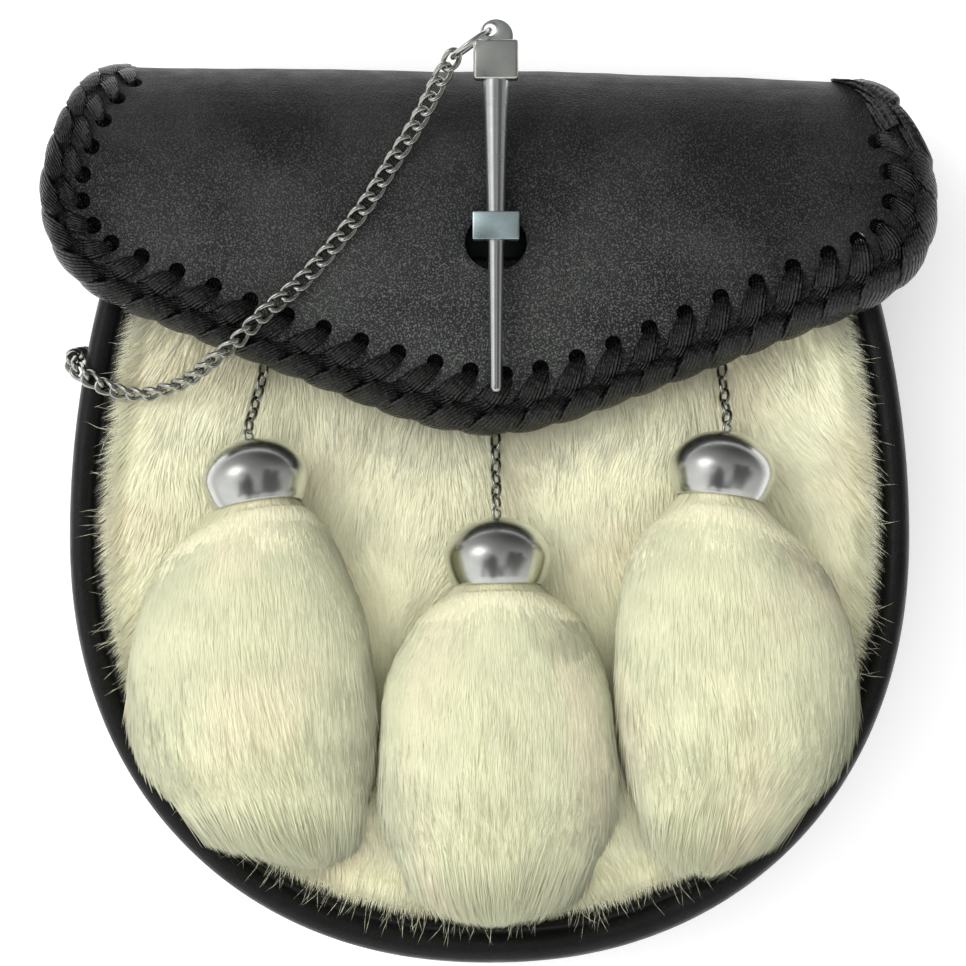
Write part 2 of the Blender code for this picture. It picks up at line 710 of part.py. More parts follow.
def add_clasp(shop):
    """Make the staple, the pin that goes through it, and the ring in the pin's ear."""
    centre = Vector((PIN_AXIS_X, STAPLE_Y, PIN_AXIS_Z))
    staple = shop.add("clasp_staple", block(STAPLE_BLOCK, centre), "chrome")
    edges = staple.modifiers.new("Edges", "BEVEL")
    edges.width = 0.5 * MM
    edges.segments = 1
    foot = RIM_Z
    stem_top = centre.z - STAPLE_BLOCK.z / 2 + 0.5
    stem_foot = foot + STAPLE_BASE.z - 0.5
    stem = block((*STAPLE_STEM, stem_top - stem_foot),
                 Vector((centre.x, centre.y, (stem_top + stem_foot) / 2)))
    base = block(STAPLE_BASE, Vector((centre.x, centre.y, foot + STAPLE_BASE.z / 2)))
    shop.combine(staple, stem)
    shop.combine(staple, base)
    bore = rod(STAPLE_BORE, 3 * STAPLE_BLOCK.y,
               Matrix.Translation(centre) @ Matrix.Rotation(math.pi / 2, 4, "X"), 14)
    shop.combine(staple, bore, "DIFFERENCE")

    profile = [(0, PIN_PROFILE[0][1]), *PIN_PROFILE, (0, PIN_PROFILE[-1][1])]
    shaft = turned(profile, 12)
    upright = Matrix.Translation((PIN_AXIS_X, 0, PIN_AXIS_Z)) @ Matrix.Rotation(-math.pi / 2, 4, "X")
    bmesh.ops.transform(shaft, matrix=upright, verts=shaft.verts)
    pin = shop.add("clasp_pin", shaft, "chrome", 40)
    head_y = PIN_HEAD_TOP_Y - PIN_HEAD.y / 2
    shop.combine(pin, block(PIN_HEAD, Vector((PIN_AXIS_X, head_y, PIN_AXIS_Z))))
    ear_centre = Vector((PIN_AXIS_X, PIN_HEAD_TOP_Y + 0.8, PIN_AXIS_Z))
    shop.combine(pin, rod(EAR_RADIUS, EAR_THICKNESS, Matrix.Translation(ear_centre), 16))
    hole_centre = ear_centre + Vector((EAR_HOLE_OFFSET, 1.5, 0))
    shop.combine(pin, rod(EAR_HOLE_RADIUS, 3 * EAR_THICKNESS, Matrix.Translation(hole_centre), 12),
                 "DIFFERENCE")

    away = Vector((math.cos(RING_BEARING), math.sin(RING_BEARING), 0))
    ring = torus(RING_RADIUS, RING_WIRE, 14, 5)
    centre = hole_centre + away * RING_RADIUS
    matrix = frame_at(centre, away, away.cross(Vector((0, 0, 1))))
    bmesh.ops.transform(ring, matrix=matrix, verts=ring.verts)
    shop.add("pin_ring", ring, "chrome", 60)
    return centre + away * RING_RADIUS


def add_pin_chain(shop, ring_end):
    """Make the pin's chain, from the far side of its ring, and the stud that holds its other end."""
    along = Vector((math.cos(CHAIN_BEARING), math.sin(CHAIN_BEARING), 0))
    start = ring_end + along * RING_SEAT
    second = start + along * LINK_PITCH
    rows = [(*start, 0, 0, 1), (*second, 0, 0, 1)]
    rows += [(x, y, z, *facing) for x, y, z, facing in PIN_CHAIN_ROUTE]
    length = arc_lengths(smooth_curve(rows, 24)[:, :3])[-1]
    frames = link_frames(rows, int(length / LINK_PITCH) + 1)
    add_chain(shop, "pin_chain", frames)

    last = frames[-1]
    onward = last.to_3x3() @ Vector((1, 0, 0))
    eye_centre = last.translation + onward * (EYE_SEAT + EYE_RADIUS)
    wall_x = -float(np.interp(eye_centre.y, *body_side(WALL_INSET))) - GAP
    taper = 2 * BODY_TAPER * (eye_centre.y - BODY_CENTRE_Y)
    out = Vector((-1, taper, 0)).normalized()
    centre = Vector((wall_x, eye_centre.y, eye_centre.z - 1.0)) + out * STUD_DEPTH / 2
    matrix = frame_at(centre, Vector((0, 0, 1)), out)
    anchor = shop.add("chain_anchor", rod(STUD_RADIUS, STUD_DEPTH, matrix, STUD_SIDES), "chrome", 40)
    shop.combine(anchor, eye(eye_centre, out, onward))


def body_side(inset_by):
    """Return heights and half widths of the body's side above its centre, rising."""
    side = body_outline(inset_by, GUSSET_END_Y, 200)
    side = side[side[:, 0] > 0]
    side = side[side[:, 1] > BODY_CENTRE_Y]
    return side[:, 1], side[:, 0]


# ---------------------------------------------------------------- the tassels


def add_tassel(shop, side):
    """Make one tassel: its stud, its chain, its bell and its fur."""
    spec = TASSELS[side]
    direction = Vector((math.sin(spec["turn"]) * math.cos(spec["pitch"]),
                        -math.cos(spec["turn"]) * math.cos(spec["pitch"]),
                        math.sin(spec["pitch"])))
    middle_z = FUR_OPEN_Z + GAP + BELL_RADIUS
    crown = Vector((*spec["crown"], middle_z - BELL_CROWN * math.sin(spec["pitch"])))

    stud_foot = FUR_FLAP_Z + GAP
    eye_centre = Vector((*spec["eye"], stud_foot + STUD_DEPTH + EYE_RISE))
    centre = Vector((eye_centre.x, eye_centre.y + STUD_BACK, stud_foot + STUD_DEPTH / 2))
    stud = rod(STUD_RADIUS, STUD_DEPTH, Matrix.Translation(centre), STUD_SIDES)
    anchor = shop.add("tassel_anchor_" + side, stud, "chrome", 40)
    up = Vector((0, 0, 1))
    reach = EYE_RADIUS + LINK_WIRE + 3 * GAP
    start = eye_centre - Vector((0, reach, 0))
    end = crown - direction * (EYE_RADIUS - EYE_SUNK + reach)
    shop.combine(anchor, eye(eye_centre, up, Vector((0, -1, 0))))

    low = start + TUBE_LIE
    middle = low.lerp(end, 0.5) - Vector((0, 0, TUBE_SAG))
    route = resampled(smooth_curve([start, low, middle, end]), TUBE_POINTS)
    add_tube(shop, "tassel_chain_" + side, route)

    add_bell(shop, side, crown, direction)
    add_tassel_fur(shop, side, crown, direction)


def bell_profile(shrink, crown_steps):
    """Return the bell's profile (radius, depth below the crown), crown first, shrunk inwards."""
    profile = []
    for i in range(crown_steps + 1):
        angle = 0.5 * math.pi * i / crown_steps
        profile.append(((BELL_RADIUS - shrink) * math.sin(angle),
                        BELL_CROWN - (BELL_CROWN - shrink) * math.cos(angle)))
    profile.append((BELL_MOUTH_RADIUS - shrink, BELL_CROWN + BELL_SKIRT))
    return profile


def add_bell(shop, side, crown, direction):
    """Make a bell cap: a turned shell, open at its mouth, with an eye in its crown."""
    profile = bell_profile(0.0, 4) + bell_profile(BELL_WALL, 2)[::-1]
    shell = turned([(radius, -depth) for radius, depth in profile], BELL_SIDES)
    matrix = frame_at(crown, Vector((0, 0, 1)).cross(direction), -direction)
    bmesh.ops.transform(shell, matrix=matrix, verts=shell.verts)
    bell = shop.add("tassel_bell_" + side, shell, "chrome", 50)
    shop.combine(bell, eye(crown - direction * (EYE_RADIUS - EYE_SUNK), Vector((0, 0, 1)), direction))


def add_tassel_fur(shop, side, crown, direction):
    """Make a tassel's fur: a neck inside the bell, and locks that spread and end unevenly."""
    across = Vector((0, 0, 1)).cross(direction).normalized()
    above = direction.cross(across)
    sections = []
    neck = BELL_MOUTH_RADIUS - BELL_WALL - 2 * GAP
    mouth = BELL_CROWN + BELL_SKIRT
    for depth, radius in ((mouth - NECK_LENGTH, neck - 1.5), (mouth + 2 * GAP, neck)):
        centre = crown + direction * depth
        section = []
        for i in range(TASSEL_SIDES):
            angle = 2 * math.pi * i / TASSEL_SIDES
            section.append(centre + across * radius * math.cos(angle)
                           + above * radius * math.sin(angle))
        sections.append(section)
    along_mouth = -direction.x / direction.y
    up_mouth = -direction.z / direction.y
    rows = TASSEL_FUR[side]
    for number, (y, left, right, under, top) in enumerate(rows):
        last = number == len(rows) - 1
        section = []
        for i in range(TASSEL_SIDES):
            angle = 2 * math.pi * i / TASSEL_SIDES
            lock = math.cos(TASSEL_LOCKS * angle)
            swell = 1 - LOCK_HOLLOW * (1 - lock) * min(number / 2, 1)
            x = (left + right) / 2 + (right - left) / 2 * math.cos(angle) * swell
            rise = math.sin(angle) * (swell if math.sin(angle) > 0 else 1)
            z = (under + top) / 2 + (top - under) / 2 * rise
            reach = LOCK_REACH * lock if last else 0.0
            tilt = along_mouth * (x - (left + right) / 2) + up_mouth * (z - (under + top) / 2)
            section.append(Vector((x, y - reach + tilt * (1 - number / len(rows)), z)))
        sections.append(section)
    shop.add("tassel_fur_" + side, loft(sections), "cream_fur", 60)


def main():
    """Build the whole pouch."""
    clear_scene()
    shop = Workshop()
    add_body(shop)
    add_fur_front(shop)
    add_flap(shop)
    add_lacing(shop)
    add_belt_loops(shop)
    ring_end = add_clasp(shop)
    add_pin_chain(shop, ring_end)
    for side in TASSELS:
        add_tassel(shop, side)


main()
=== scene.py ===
"""Dress the sporran pouch: black leather, braided lacing, chromed fittings and cream fur.

The pouch lies on its back, with its front up (+Z) and its top towards +Y. Sizes are millimetres
in the makers' classes below, and each piece is brought to metres when its mesh is finished.
"""

import logging
import math
from collections.abc import Iterable, Sequence
from dataclasses import dataclass, field
from enum import Enum

import bmesh
import bpy
import numpy as np
from bmesh.types import BMEdge, BMesh, BMVert
from bpy.types import Material, Node, NodeSocket, Object
from mathutils import Matrix, Vector, kdtree, noise


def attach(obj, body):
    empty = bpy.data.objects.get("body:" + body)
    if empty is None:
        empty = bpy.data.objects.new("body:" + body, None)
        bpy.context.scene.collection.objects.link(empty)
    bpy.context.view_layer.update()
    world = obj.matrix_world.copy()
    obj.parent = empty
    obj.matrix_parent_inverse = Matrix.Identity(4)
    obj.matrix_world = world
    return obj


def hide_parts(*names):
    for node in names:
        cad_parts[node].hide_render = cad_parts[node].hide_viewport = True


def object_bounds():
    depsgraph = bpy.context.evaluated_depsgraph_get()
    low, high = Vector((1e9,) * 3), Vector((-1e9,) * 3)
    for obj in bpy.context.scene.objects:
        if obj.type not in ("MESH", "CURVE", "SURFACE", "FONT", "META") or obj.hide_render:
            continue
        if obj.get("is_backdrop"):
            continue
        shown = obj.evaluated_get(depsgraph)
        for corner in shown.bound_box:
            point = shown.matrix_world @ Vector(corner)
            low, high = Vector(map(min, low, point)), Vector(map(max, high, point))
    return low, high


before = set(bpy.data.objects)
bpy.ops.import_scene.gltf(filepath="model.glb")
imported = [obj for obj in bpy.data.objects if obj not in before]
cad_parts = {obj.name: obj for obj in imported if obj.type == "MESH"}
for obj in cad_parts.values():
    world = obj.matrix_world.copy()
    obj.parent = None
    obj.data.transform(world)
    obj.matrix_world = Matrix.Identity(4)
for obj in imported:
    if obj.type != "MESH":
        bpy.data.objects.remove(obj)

LOG = logging.getLogger("sporran")
Rows = np.ndarray
MM = 0.001
GAP = 0.3
MIDDLE = Vector((0.0, 1.1, 0.0))      # brings the middle of the pouch over the origin
UP = Vector((0.0, 0.0, 1.0))
BODY = "root"
EYE_RADIUS = 1.35       # of the wire eyes on the anchors and the bells
EYE_WIRE = 0.45
EYE_SUNK = 0.5          # how deep an eye's foot is in its bell
EYE_RISE = 0.9
STUD_DEPTH = 0.9
TONES = 90000           # how many clumps of hair have a tone of their own


# ---- curves


def smooth_curve(points: Sequence, steps: int = 12) -> Rows:
    """Run a dense smooth curve through points.

    Args:
        points: rows of coordinates, of any dimension.
        steps: how many stretches each span is cut into.

    Returns:
        The curve's points as rows.
    """
    rows = np.asarray(points, dtype=float)
    ends = (2 * rows[0] - rows[1], 2 * rows[-1] - rows[-2])
    rows = np.vstack((ends[0], rows, ends[1]))
    curve = []
    for before, start, end, after in zip(rows[:-3], rows[1:-2], rows[2:-1], rows[3:]):
        for t in np.arange(steps) / steps:
            curve.append(0.5 * (2 * start + (end - before) * t
                    + (2 * before - 5 * start + 4 * end - after) * t ** 2
                    + (3 * start - before - 3 * end + after) * t ** 3))
    curve.append(rows[-2])
    return np.array(curve)


def arc_lengths(curve: Rows) -> Rows:
    """Return the length run at each point of a curve."""
    steps = np.linalg.norm(np.diff(curve, axis=0), axis=1)
    return np.concatenate(((0.0,), np.cumsum(steps)))


def resampled(curve: Rows, count: int) -> Rows:
    """Return count points spaced evenly along a curve."""
    run = arc_lengths(curve)
    lengths = np.linspace(0.0, run[-1], count)
    return np.stack([np.interp(lengths, run, column) for column in curve.T], axis=1)


def left_normals(curve: Rows) -> Rows:
    """Return the unit normals to the left of a flat curve."""
    tangent = np.gradient(curve, axis=0)
    tangent /= np.linalg.norm(tangent, axis=1)[:, None]
    return np.stack((-tangent[:, 1], tangent[:, 0]), axis=1)


def inset(curve: Rows, distance: float | Rows) -> Rows:
    """Move a flat curve to its left, which is inwards for one that runs anticlockwise."""
    return curve + left_normals(curve) * np.asarray(distance, dtype=float).reshape(-1, 1)


def unit(value: Rows) -> Rows:
    """Keep values from 0 to 1."""
    return np.clip(value, 0.0, 1.0)


def finder_of(places: Iterable[Sequence]) -> kdtree.KDTree:
    """Return what finds the nearest of some places."""
    places = list(places)
    finder = kdtree.KDTree(len(places))
    for number, place in enumerate(places):
        finder.insert(place, number)
    finder.balance()
    return finder


def ripple(places: Rows, size: float, seed: int) -> Rows:
    """Return a smooth wandering value at flat places.

    Args:
        places: rows of x, y in millimetres.
        size: the rough distance between two swells.
        seed: which wandering it is.

    Returns:
        One number for each place, mostly between -1 and 1.
    """
    dice = np.random.default_rng(seed)
    total = np.zeros(len(places))
    for _ in range(7):
        bearing, phase = dice.uniform(0.0, 2 * math.pi, 2)
        pace = 2 * math.pi / (size * dice.uniform(0.7, 1.8))
        along = places[:, 0] * math.cos(bearing) + places[:, 1] * math.sin(bearing)
        total += np.sin(along * pace + phase)
    return total / 3.2


# ---- shaping


def add_ring(shape: BMesh, points: Iterable[Sequence]) -> list[BMVert]:
    """Add a closed ring of vertices and edges.

    Args:
        shape: what it goes into.
        points: the ring's places, in order.

    Returns:
        The new vertices, in order.
    """
    ring = [shape.verts.new(point) for point in points]
    for vert, following in zip(ring, ring[1:] + ring[:1]):
        shape.edges.new((vert, following))
    return ring


def ring_edges(shape: BMesh, ring: list[BMVert]) -> list[BMEdge]:
    """Return the edges of a closed ring of vertices."""
    return [shape.edges.get(pair) for pair in zip(ring, ring[1:] + ring[:1])]


def twins_of(shape: BMesh, verts: list[BMVert], edges: list[BMEdge]) -> list[BMVert]:
    """Extrude edges, and return the new vertex of each of the given ones."""
    made = bmesh.ops.extrude_edge_only(shape, edges=edges)["geom"]
    fresh = {item for item in made if isinstance(item, BMVert)}
    return [next(edge.other_vert(vert) for edge in vert.link_edges
            if edge.other_vert(vert) in fresh) for vert in verts]


def pull_ring(shape: BMesh, ring: list[BMVert], points: Sequence[Sequence]) -> list[BMVert]:
    """Extrude a ring's edges and bring the new ring to the given points.

    Args:
        shape: the mesh that the ring is in.
        ring: the vertices to extrude from, in order.
        points: where each of the new vertices goes.

    Returns:
        The new ring's vertices, in order.
    """
    twins = twins_of(shape, ring, ring_edges(shape, ring))
    for twin, point in zip(twins, points):
        twin.co = point
    return twins


def sweep(sections: Sequence[Sequence], closed: bool = False) -> BMesh:
    """Pull a ring through sections of equal counts.

    Args:
        sections: the rings' points, in order.
        closed: whether the last section is the first one again.

    Returns:
        A closed shape, with its ends capped or joined.
    """
    shape = bmesh.new()
    first = add_ring(shape, sections[0])
    ring = first
    for section in sections[1:]:
        ring = pull_ring(shape, ring, section)
    if closed:
        bmesh.ops.remove_doubles(shape, verts=first + ring, dist=0.001)
    else:
        for end in (first, ring):
            bmesh.ops.contextual_create(shape, geom=ring_edges(shape, end))
    bmesh.ops.recalc_face_normals(shape, faces=shape.faces)
    return shape


def plate(outline: Iterable[Sequence], low: float, high: float, rounding: float) -> BMesh:
    """Cut a flat plate with rounded edges.

    Args:
        outline: its outline's x, y, in order.
        low: the height of its lower face.
        high: the height of its upper face.
        rounding: the radius along its edges.

    Returns:
        The plate.
    """
    shape = bmesh.new()
    ring = add_ring(shape, [(x, y, low) for x, y in outline])
    face = bmesh.ops.contextual_create(shape, geom=ring_edges(shape, ring))["faces"]
    thicken(shape, face, (0, 0, high - low))
    level = [edge for edge in shape.edges if abs(edge.verts[0].co.z - edge.verts[1].co.z) < 0.01]
    round_edges(shape, level, rounding, 3)
    return shape


def thicken(shape: BMesh, faces: list, by: Sequence[float]) -> None:
    """Give flat faces a thickness."""
    raised = bmesh.ops.extrude_face_region(shape, geom=faces)["geom"]
    moved = [item for item in raised if isinstance(item, BMVert)]
    bmesh.ops.translate(shape, vec=by, verts=moved)
    bmesh.ops.recalc_face_normals(shape, faces=shape.faces)


def slice_up(shape: BMesh, across: Rows, along: Rows, dist: float) -> None:
    """Cut a shape at each y of across, and then at each x of along."""
    cuts = [((0, y, 0), (0, 1, 0)) for y in across] + [((x, 0, 0), (1, 0, 0)) for x in along]
    for place, normal in cuts:
        geometry = shape.verts[:] + shape.edges[:] + shape.faces[:]
        bmesh.ops.bisect_plane(shape, geom=geometry, dist=dist, plane_co=place, plane_no=normal)


def crisp_edges(shape: BMesh) -> list[BMEdge]:
    """Return the edges where two faces meet at a sharp angle."""
    return [edge for edge in shape.edges
            if len(edge.link_faces) == 2 and edge.calc_face_angle() > 1.0]


def round_edges(shape: BMesh, edges: list[BMEdge], width: float, segments: int) -> None:
    """Round some edges of a shape."""
    bmesh.ops.bevel(shape, geom=edges, offset=width, offset_type="OFFSET", segments=segments,
            profile=0.5, affect="EDGES", clamp_overlap=True, material=-1)


def block(size: Sequence[float], centre: Vector, rounding: float) -> BMesh:
    """Return a box with rounded edges."""
    shape = bmesh.new()
    matrix = Matrix.Translation(centre) @ Matrix.Diagonal((*size, 1.0))
    bmesh.ops.create_cube(shape, size=1.0, matrix=matrix)
    round_edges(shape, shape.edges[:], rounding, 3)
    return shape


def turned(profile: Sequence[Sequence[float]], sides: int) -> BMesh:
    """Turn a profile about Z.

    Args:
        profile: (radius, height) rows, which start and end on the axis.
        sides: how many steps a full turn has.

    Returns:
        The turned solid.
    """
    shape = bmesh.new()
    verts = [shape.verts.new((radius, 0.0, height)) for radius, height in profile]
    edges = [shape.edges.new(pair) for pair in zip(verts, verts[1:])]
    bmesh.ops.spin(shape, geom=verts + edges, cent=(0, 0, 0), axis=(0, 0, 1),
            angle=2 * math.pi, steps=sides, use_merge=True)
    bmesh.ops.remove_doubles(shape, verts=shape.verts, dist=0.001)
    bmesh.ops.recalc_face_normals(shape, faces=shape.faces)
    return shape


def wire_loop(centreline: Rows, wire: float, sides: int, out: Vector = UP) -> BMesh:
    """Bend a round wire into a closed loop.

    Args:
        centreline: the loop's points, without the first one again at the end.
        wire: the wire's radius.
        sides: how many sides the wire has.
        out: the way that the loop lies across.

    Returns:
        The loop.
    """
    ahead = np.roll(centreline, -1, axis=0) - np.roll(centreline, 1, axis=0)
    sections = []
    for place, step in zip(centreline, ahead):
        tangent = Vector(step).normalized()
        across = tangent.cross(out).normalized()
        raised = across.cross(tangent)
        sections.append([Vector(place) + across * wire * math.cos(turn)
                + raised * wire * math.sin(turn)
                for turn in np.linspace(0, 2 * math.pi, sides, endpoint=False)])
    return sweep(sections + [sections[0]], closed=True)


def circle_points(radius: float, count: int) -> Rows:
    """Return points round a circle in the XY plane."""
    turn = np.linspace(0, 2 * math.pi, count, endpoint=False)
    return np.stack((radius * np.cos(turn), radius * np.sin(turn), 0 * turn), axis=1)


def frame_at(place: Vector, forward: Vector, facing: Vector) -> Matrix:
    """Return a matrix at a place, with X along forward and Z as near to facing as it can be."""
    x_axis = forward.normalized()
    y_axis = facing.cross(x_axis).normalized()
    matrix = Matrix((x_axis, y_axis, x_axis.cross(y_axis))).transposed().to_4x4()
    matrix.translation = place
    return matrix


def joined(shapes: Iterable[BMesh]) -> BMesh:
    """Put shapes together in one mesh, and free them."""
    whole = bmesh.new()
    for shape in shapes:
        whole_mesh = bpy.data.meshes.new("part")
        shape.to_mesh(whole_mesh)
        shape.free()
        whole.from_mesh(whole_mesh)
        bpy.data.meshes.remove(whole_mesh)
    return whole


def copies(pattern: BMesh, matrices: Iterable[Matrix]) -> BMesh:
    """Set copies of a pattern at the given places, and free the pattern.

    Args:
        pattern: the shape to repeat.
        matrices: where each copy goes.

    Returns:
        All the copies in one mesh.
    """
    source = bpy.data.meshes.new("pattern")
    pattern.to_mesh(source)
    pattern.free()
    whole = bmesh.new()
    for matrix in matrices:
        start = len(whole.verts)
        whole.from_mesh(source)
        whole.verts.ensure_lookup_table()
        bmesh.ops.transform(whole, matrix=matrix, verts=whole.verts[start:])
    bpy.data.meshes.remove(source)
    return whole


def placed(name: str, data: bpy.types.ID) -> Object:
    """Put an object of some data in the scene."""
    item = bpy.data.objects.new(name, data)
    bpy.context.scene.collection.objects.link(item)
    return item


def finished(name: str, shape: BMesh, material: Material, sharp: float = 35.0) -> Object:
    """Turn a shape in millimetres into an object in metres.

    Args:
        name: the piece's name.
        shape: its mesh, which is freed.
        material: what it is made of.
        sharp: the angle in degrees past which an edge stays crisp.

    Returns:
        The piece, at the origin with its place in its mesh.
    """
    bmesh.ops.translate(shape, vec=MIDDLE, verts=shape.verts)
    bmesh.ops.scale(shape, vec=(MM, MM, MM), verts=shape.verts)
    mesh = bpy.data.meshes.new(name)
    shape.to_mesh(mesh)
    shape.free()
    mesh.materials.append(material)
    mesh.shade_smooth()
    mesh.set_sharp_from_angle(angle=math.radians(sharp))
    return placed(name, mesh)


def stand_for(piece: Object, slot: str, *nodes: str) -> Object:
    """Let a piece ride on the pouch in the place of its CAD nodes, and return it."""
    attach(piece, BODY)
    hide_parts(*nodes)
    return piece


def fitted(name: str, shape: BMesh, material: Material, slot: str, sharp: float = 35.0) -> Object:
    """Finish the piece that takes the place of the CAD node of the same name."""
    return stand_for(finished(name, shape, material, sharp), slot, name)


def stitches(places: Rows, directions: Rows, facings: Sequence[Vector]) -> BMesh:
    """Lay short bulging stitches at places, along directions."""
    pattern = bmesh.new()
    bmesh.ops.create_uvsphere(pattern, u_segments=6, v_segments=5, radius=1.0,
            matrix=Matrix.Rotation(math.pi / 2, 4, "Y"))
    bmesh.ops.scale(pattern, vec=(1.35, 0.36, 0.36), verts=pattern.verts)
    return copies(pattern, [frame_at(Vector(place), Vector(way), facing)
            for place, way, facing in zip(places, directions, facings)])


# ---- finishes


class Nodes:
    """Builds the node tree of one material."""

    def __init__(self, name: str) -> None:
        """Start from Blender's own shader."""
        self.material = bpy.data.materials.new(name)
        self.material.use_nodes = True
        self.tree = self.material.node_tree
        self.shader = self.tree.nodes["Principled BSDF"]

    def add(self, kind: str, inputs: dict | None = None, **settings: object) -> Node:
        """Add a node.

        Args:
            kind: its type.
            inputs: a value or another node's output for each of its sockets.
            settings: its own properties.

        Returns:
            The node.
        """
        node = self.tree.nodes.new(kind)
        for key, value in settings.items():
            setattr(node, key, value)
        self.feed(node, inputs or {})
        return node

    def feed(self, node: Node, inputs: dict) -> None:
        """Set or link a node's sockets."""
        for key, value in inputs.items():
            if isinstance(value, NodeSocket):
                self.tree.links.new(value, node.inputs[key])
            else:
                node.inputs[key].default_value = value

    def math(self, operation: str, first: object, second: object = 0.0) -> NodeSocket:
        """Return the result of a sum on two values."""
        node = self.add("ShaderNodeMath", {0: first, 1: second}, operation=operation)
        return node.outputs[0]

    def noise(self, where: NodeSocket, size: float, detail: float = 3.0) -> NodeSocket:
        """Return noise with a feature size in millimetres."""
        node = self.add("ShaderNodeTexNoise",
                {"Vector": where, "Scale": 1 / (size * MM), "Detail": detail})
        return node.outputs["Fac"]

    def place(self) -> NodeSocket:
        """Return the place on the object, in metres."""
        return self.add("ShaderNodeTexCoord").outputs["Object"]

    def spread(self, value: NodeSocket, low: float, high: float,
            bottom: float = 0.3, top: float = 0.7) -> NodeSocket:
        """Bring a value that runs from bottom to top to the range from low to high."""
        node = self.add("ShaderNodeMapRange",
                {"Value": value, "From Min": bottom, "From Max": top,
                "To Min": low, "To Max": high})
        return node.outputs[0]

    def blend(self, share: NodeSocket | float, first: object, second: object) -> NodeSocket:
        """Mix two colours."""
        node = self.add("ShaderNodeMix", data_type="RGBA")
        self.feed(node, {0: share, 6: first, 7: second})
        return node.outputs[2]

    def bump(self, height: NodeSocket, depth: float, strength: float = 1.0,
            under: NodeSocket | None = None) -> NodeSocket:
        """Return normals bent by a height of some millimetres, over an earlier bump."""
        inputs = {"Height": height, "Distance": depth * MM, "Strength": strength}
        if under is not None:
            inputs["Normal"] = under
        return self.add("ShaderNodeBump", inputs).outputs[0]

    def surface(self, **inputs: object) -> Material:
        """Feed the shader, with _ for a space in its sockets' names, and return the material."""
        self.feed(self.shader, {key.replace("_", " "): value for key, value in inputs.items()})
        return self.material


def rgba(colour: Sequence[float]) -> tuple[float, float, float, float]:
    """Return a colour with full alpha."""
    return (colour[0], colour[1], colour[2], 1.0)


@dataclass(frozen=True)
class Leather:
    """Black leather with a pebbled grain."""

    name: str
    colour: tuple[float, float, float] = (0.0060, 0.0066, 0.0061)
    # the pebble tops' colour: wear, and a painted highlight on them
    worn_and_highlight: tuple[float, float, float] = (0.150, 0.158, 0.150)
    roughness: float = 0.42
    pebble: float = 0.42
    relief: float = 0.24
    unevenness: float = 0.14
    # painted light: how much lighter the leather is lower down, less so towards its right end
    painted_light_low: float = 0.0         # how much lighter it is lower down

    def material(self) -> Material:
        """Make it."""
        nodes = Nodes(self.name)
        where = nodes.place()
        pebbles = nodes.add("ShaderNodeTexVoronoi",
                {"Vector": where, "Scale": 1 / (self.pebble * MM)},
                feature="SMOOTH_F1").outputs["Distance"]
        fine = nodes.noise(where, self.pebble * 0.8, 3.0)
        grain = nodes.math("SUBTRACT", nodes.math("MULTIPLY", fine, 1.2), pebbles)
        waves = nodes.noise(where, 7.0, 2.0)
        soft = nodes.bump(waves, self.unevenness)
        patches = nodes.spread(nodes.noise(where, 24.0, 4.0), -0.06, 0.10, 0.35, 0.7)
        # The speckle is the grain's own tone and a painted highlight on the pebbles' tops.
        speckle_and_highlight = nodes.spread(grain, 0.0, 0.85, 0.17, 0.52)
        # Painted light: the colour and the speckle grow lighter lower down, less so towards the
        # right end.
        if self.painted_light_low > 0:
            x, y, _ = nodes.add("ShaderNodeSeparateXYZ", {0: where}).outputs
            lower = nodes.math("MULTIPLY", nodes.spread(y, self.painted_light_low, 0.0, 0.02, 0.085),
                    nodes.spread(x, 1.0, 0.0, 0.035, 0.090))
            speckle_and_highlight = nodes.math("ADD", nodes.math("MULTIPLY", lower, 0.14), nodes.math(
                "MULTIPLY", speckle_and_highlight, nodes.math("ADD", lower, 0.25)))
        colour = nodes.blend(nodes.math("ADD", patches, speckle_and_highlight), rgba(self.colour),
                rgba(self.worn_and_highlight))
        rough = nodes.spread(nodes.noise(where, 5.0, 3.0), self.roughness - 0.06,
                self.roughness + 0.08)
        return nodes.surface(Base_Color=colour, Roughness=rough, Specular_IOR_Level=0.30,
                Normal=nodes.bump(grain, self.relief, 0.9, soft))


@dataclass(frozen=True)
class Lace:
    """Black leather lace, ribbed along its length."""

    name: str = "lace_leather"
    colour: tuple[float, float, float] = (0.0030, 0.0031, 0.0028)
    # scuffed lace, and the painted highlight on the rib crests
    worn_and_highlight: tuple[float, float, float] = (0.034, 0.036, 0.033)
    roughness: float = 0.19
    rib: float = 0.78

    def material(self) -> Material:
        """Make it, with its pattern on the lace's own map of millimetres across and along."""
        nodes = Nodes(self.name)
        laid = nodes.add("ShaderNodeUVMap", uv_map="lace").outputs[0]
        across, along, _ = nodes.add("ShaderNodeSeparateXYZ", {0: laid}).outputs
        where = nodes.place()
        wander = nodes.math("MULTIPLY", nodes.noise(where, 2.2, 2.0), 3.0)
        ribs = nodes.math("SINE", nodes.math("ADD", nodes.math(
            "MULTIPLY", across, 2 * math.pi / self.rib), wander))
        notches = nodes.math("SINE", nodes.math("MULTIPLY", along, 2 * math.pi / 1.7))
        relief = nodes.math("ADD", ribs, nodes.math("MULTIPLY", notches, 0.25))
        scuffs = nodes.noise(where, 0.7, 4.0)
        height = nodes.math("ADD", relief, nodes.math("MULTIPLY", scuffs, 2.2))
        # Scuffs are wear; the rib term paints a highlight along the rib crests.
        share = nodes.spread(nodes.math("ADD", scuffs, nodes.math("MULTIPLY", ribs, 0.12)),
                0.0, 1.0, 0.48, 0.80)
        colour = nodes.blend(share, rgba(self.colour), rgba(self.worn_and_highlight))
        rough = nodes.spread(scuffs, self.roughness - 0.08, self.roughness + 0.12)
        return nodes.surface(Base_Color=colour, Roughness=rough, Specular_IOR_Level=0.62,
                Normal=nodes.bump(height, 0.15, 1.0))


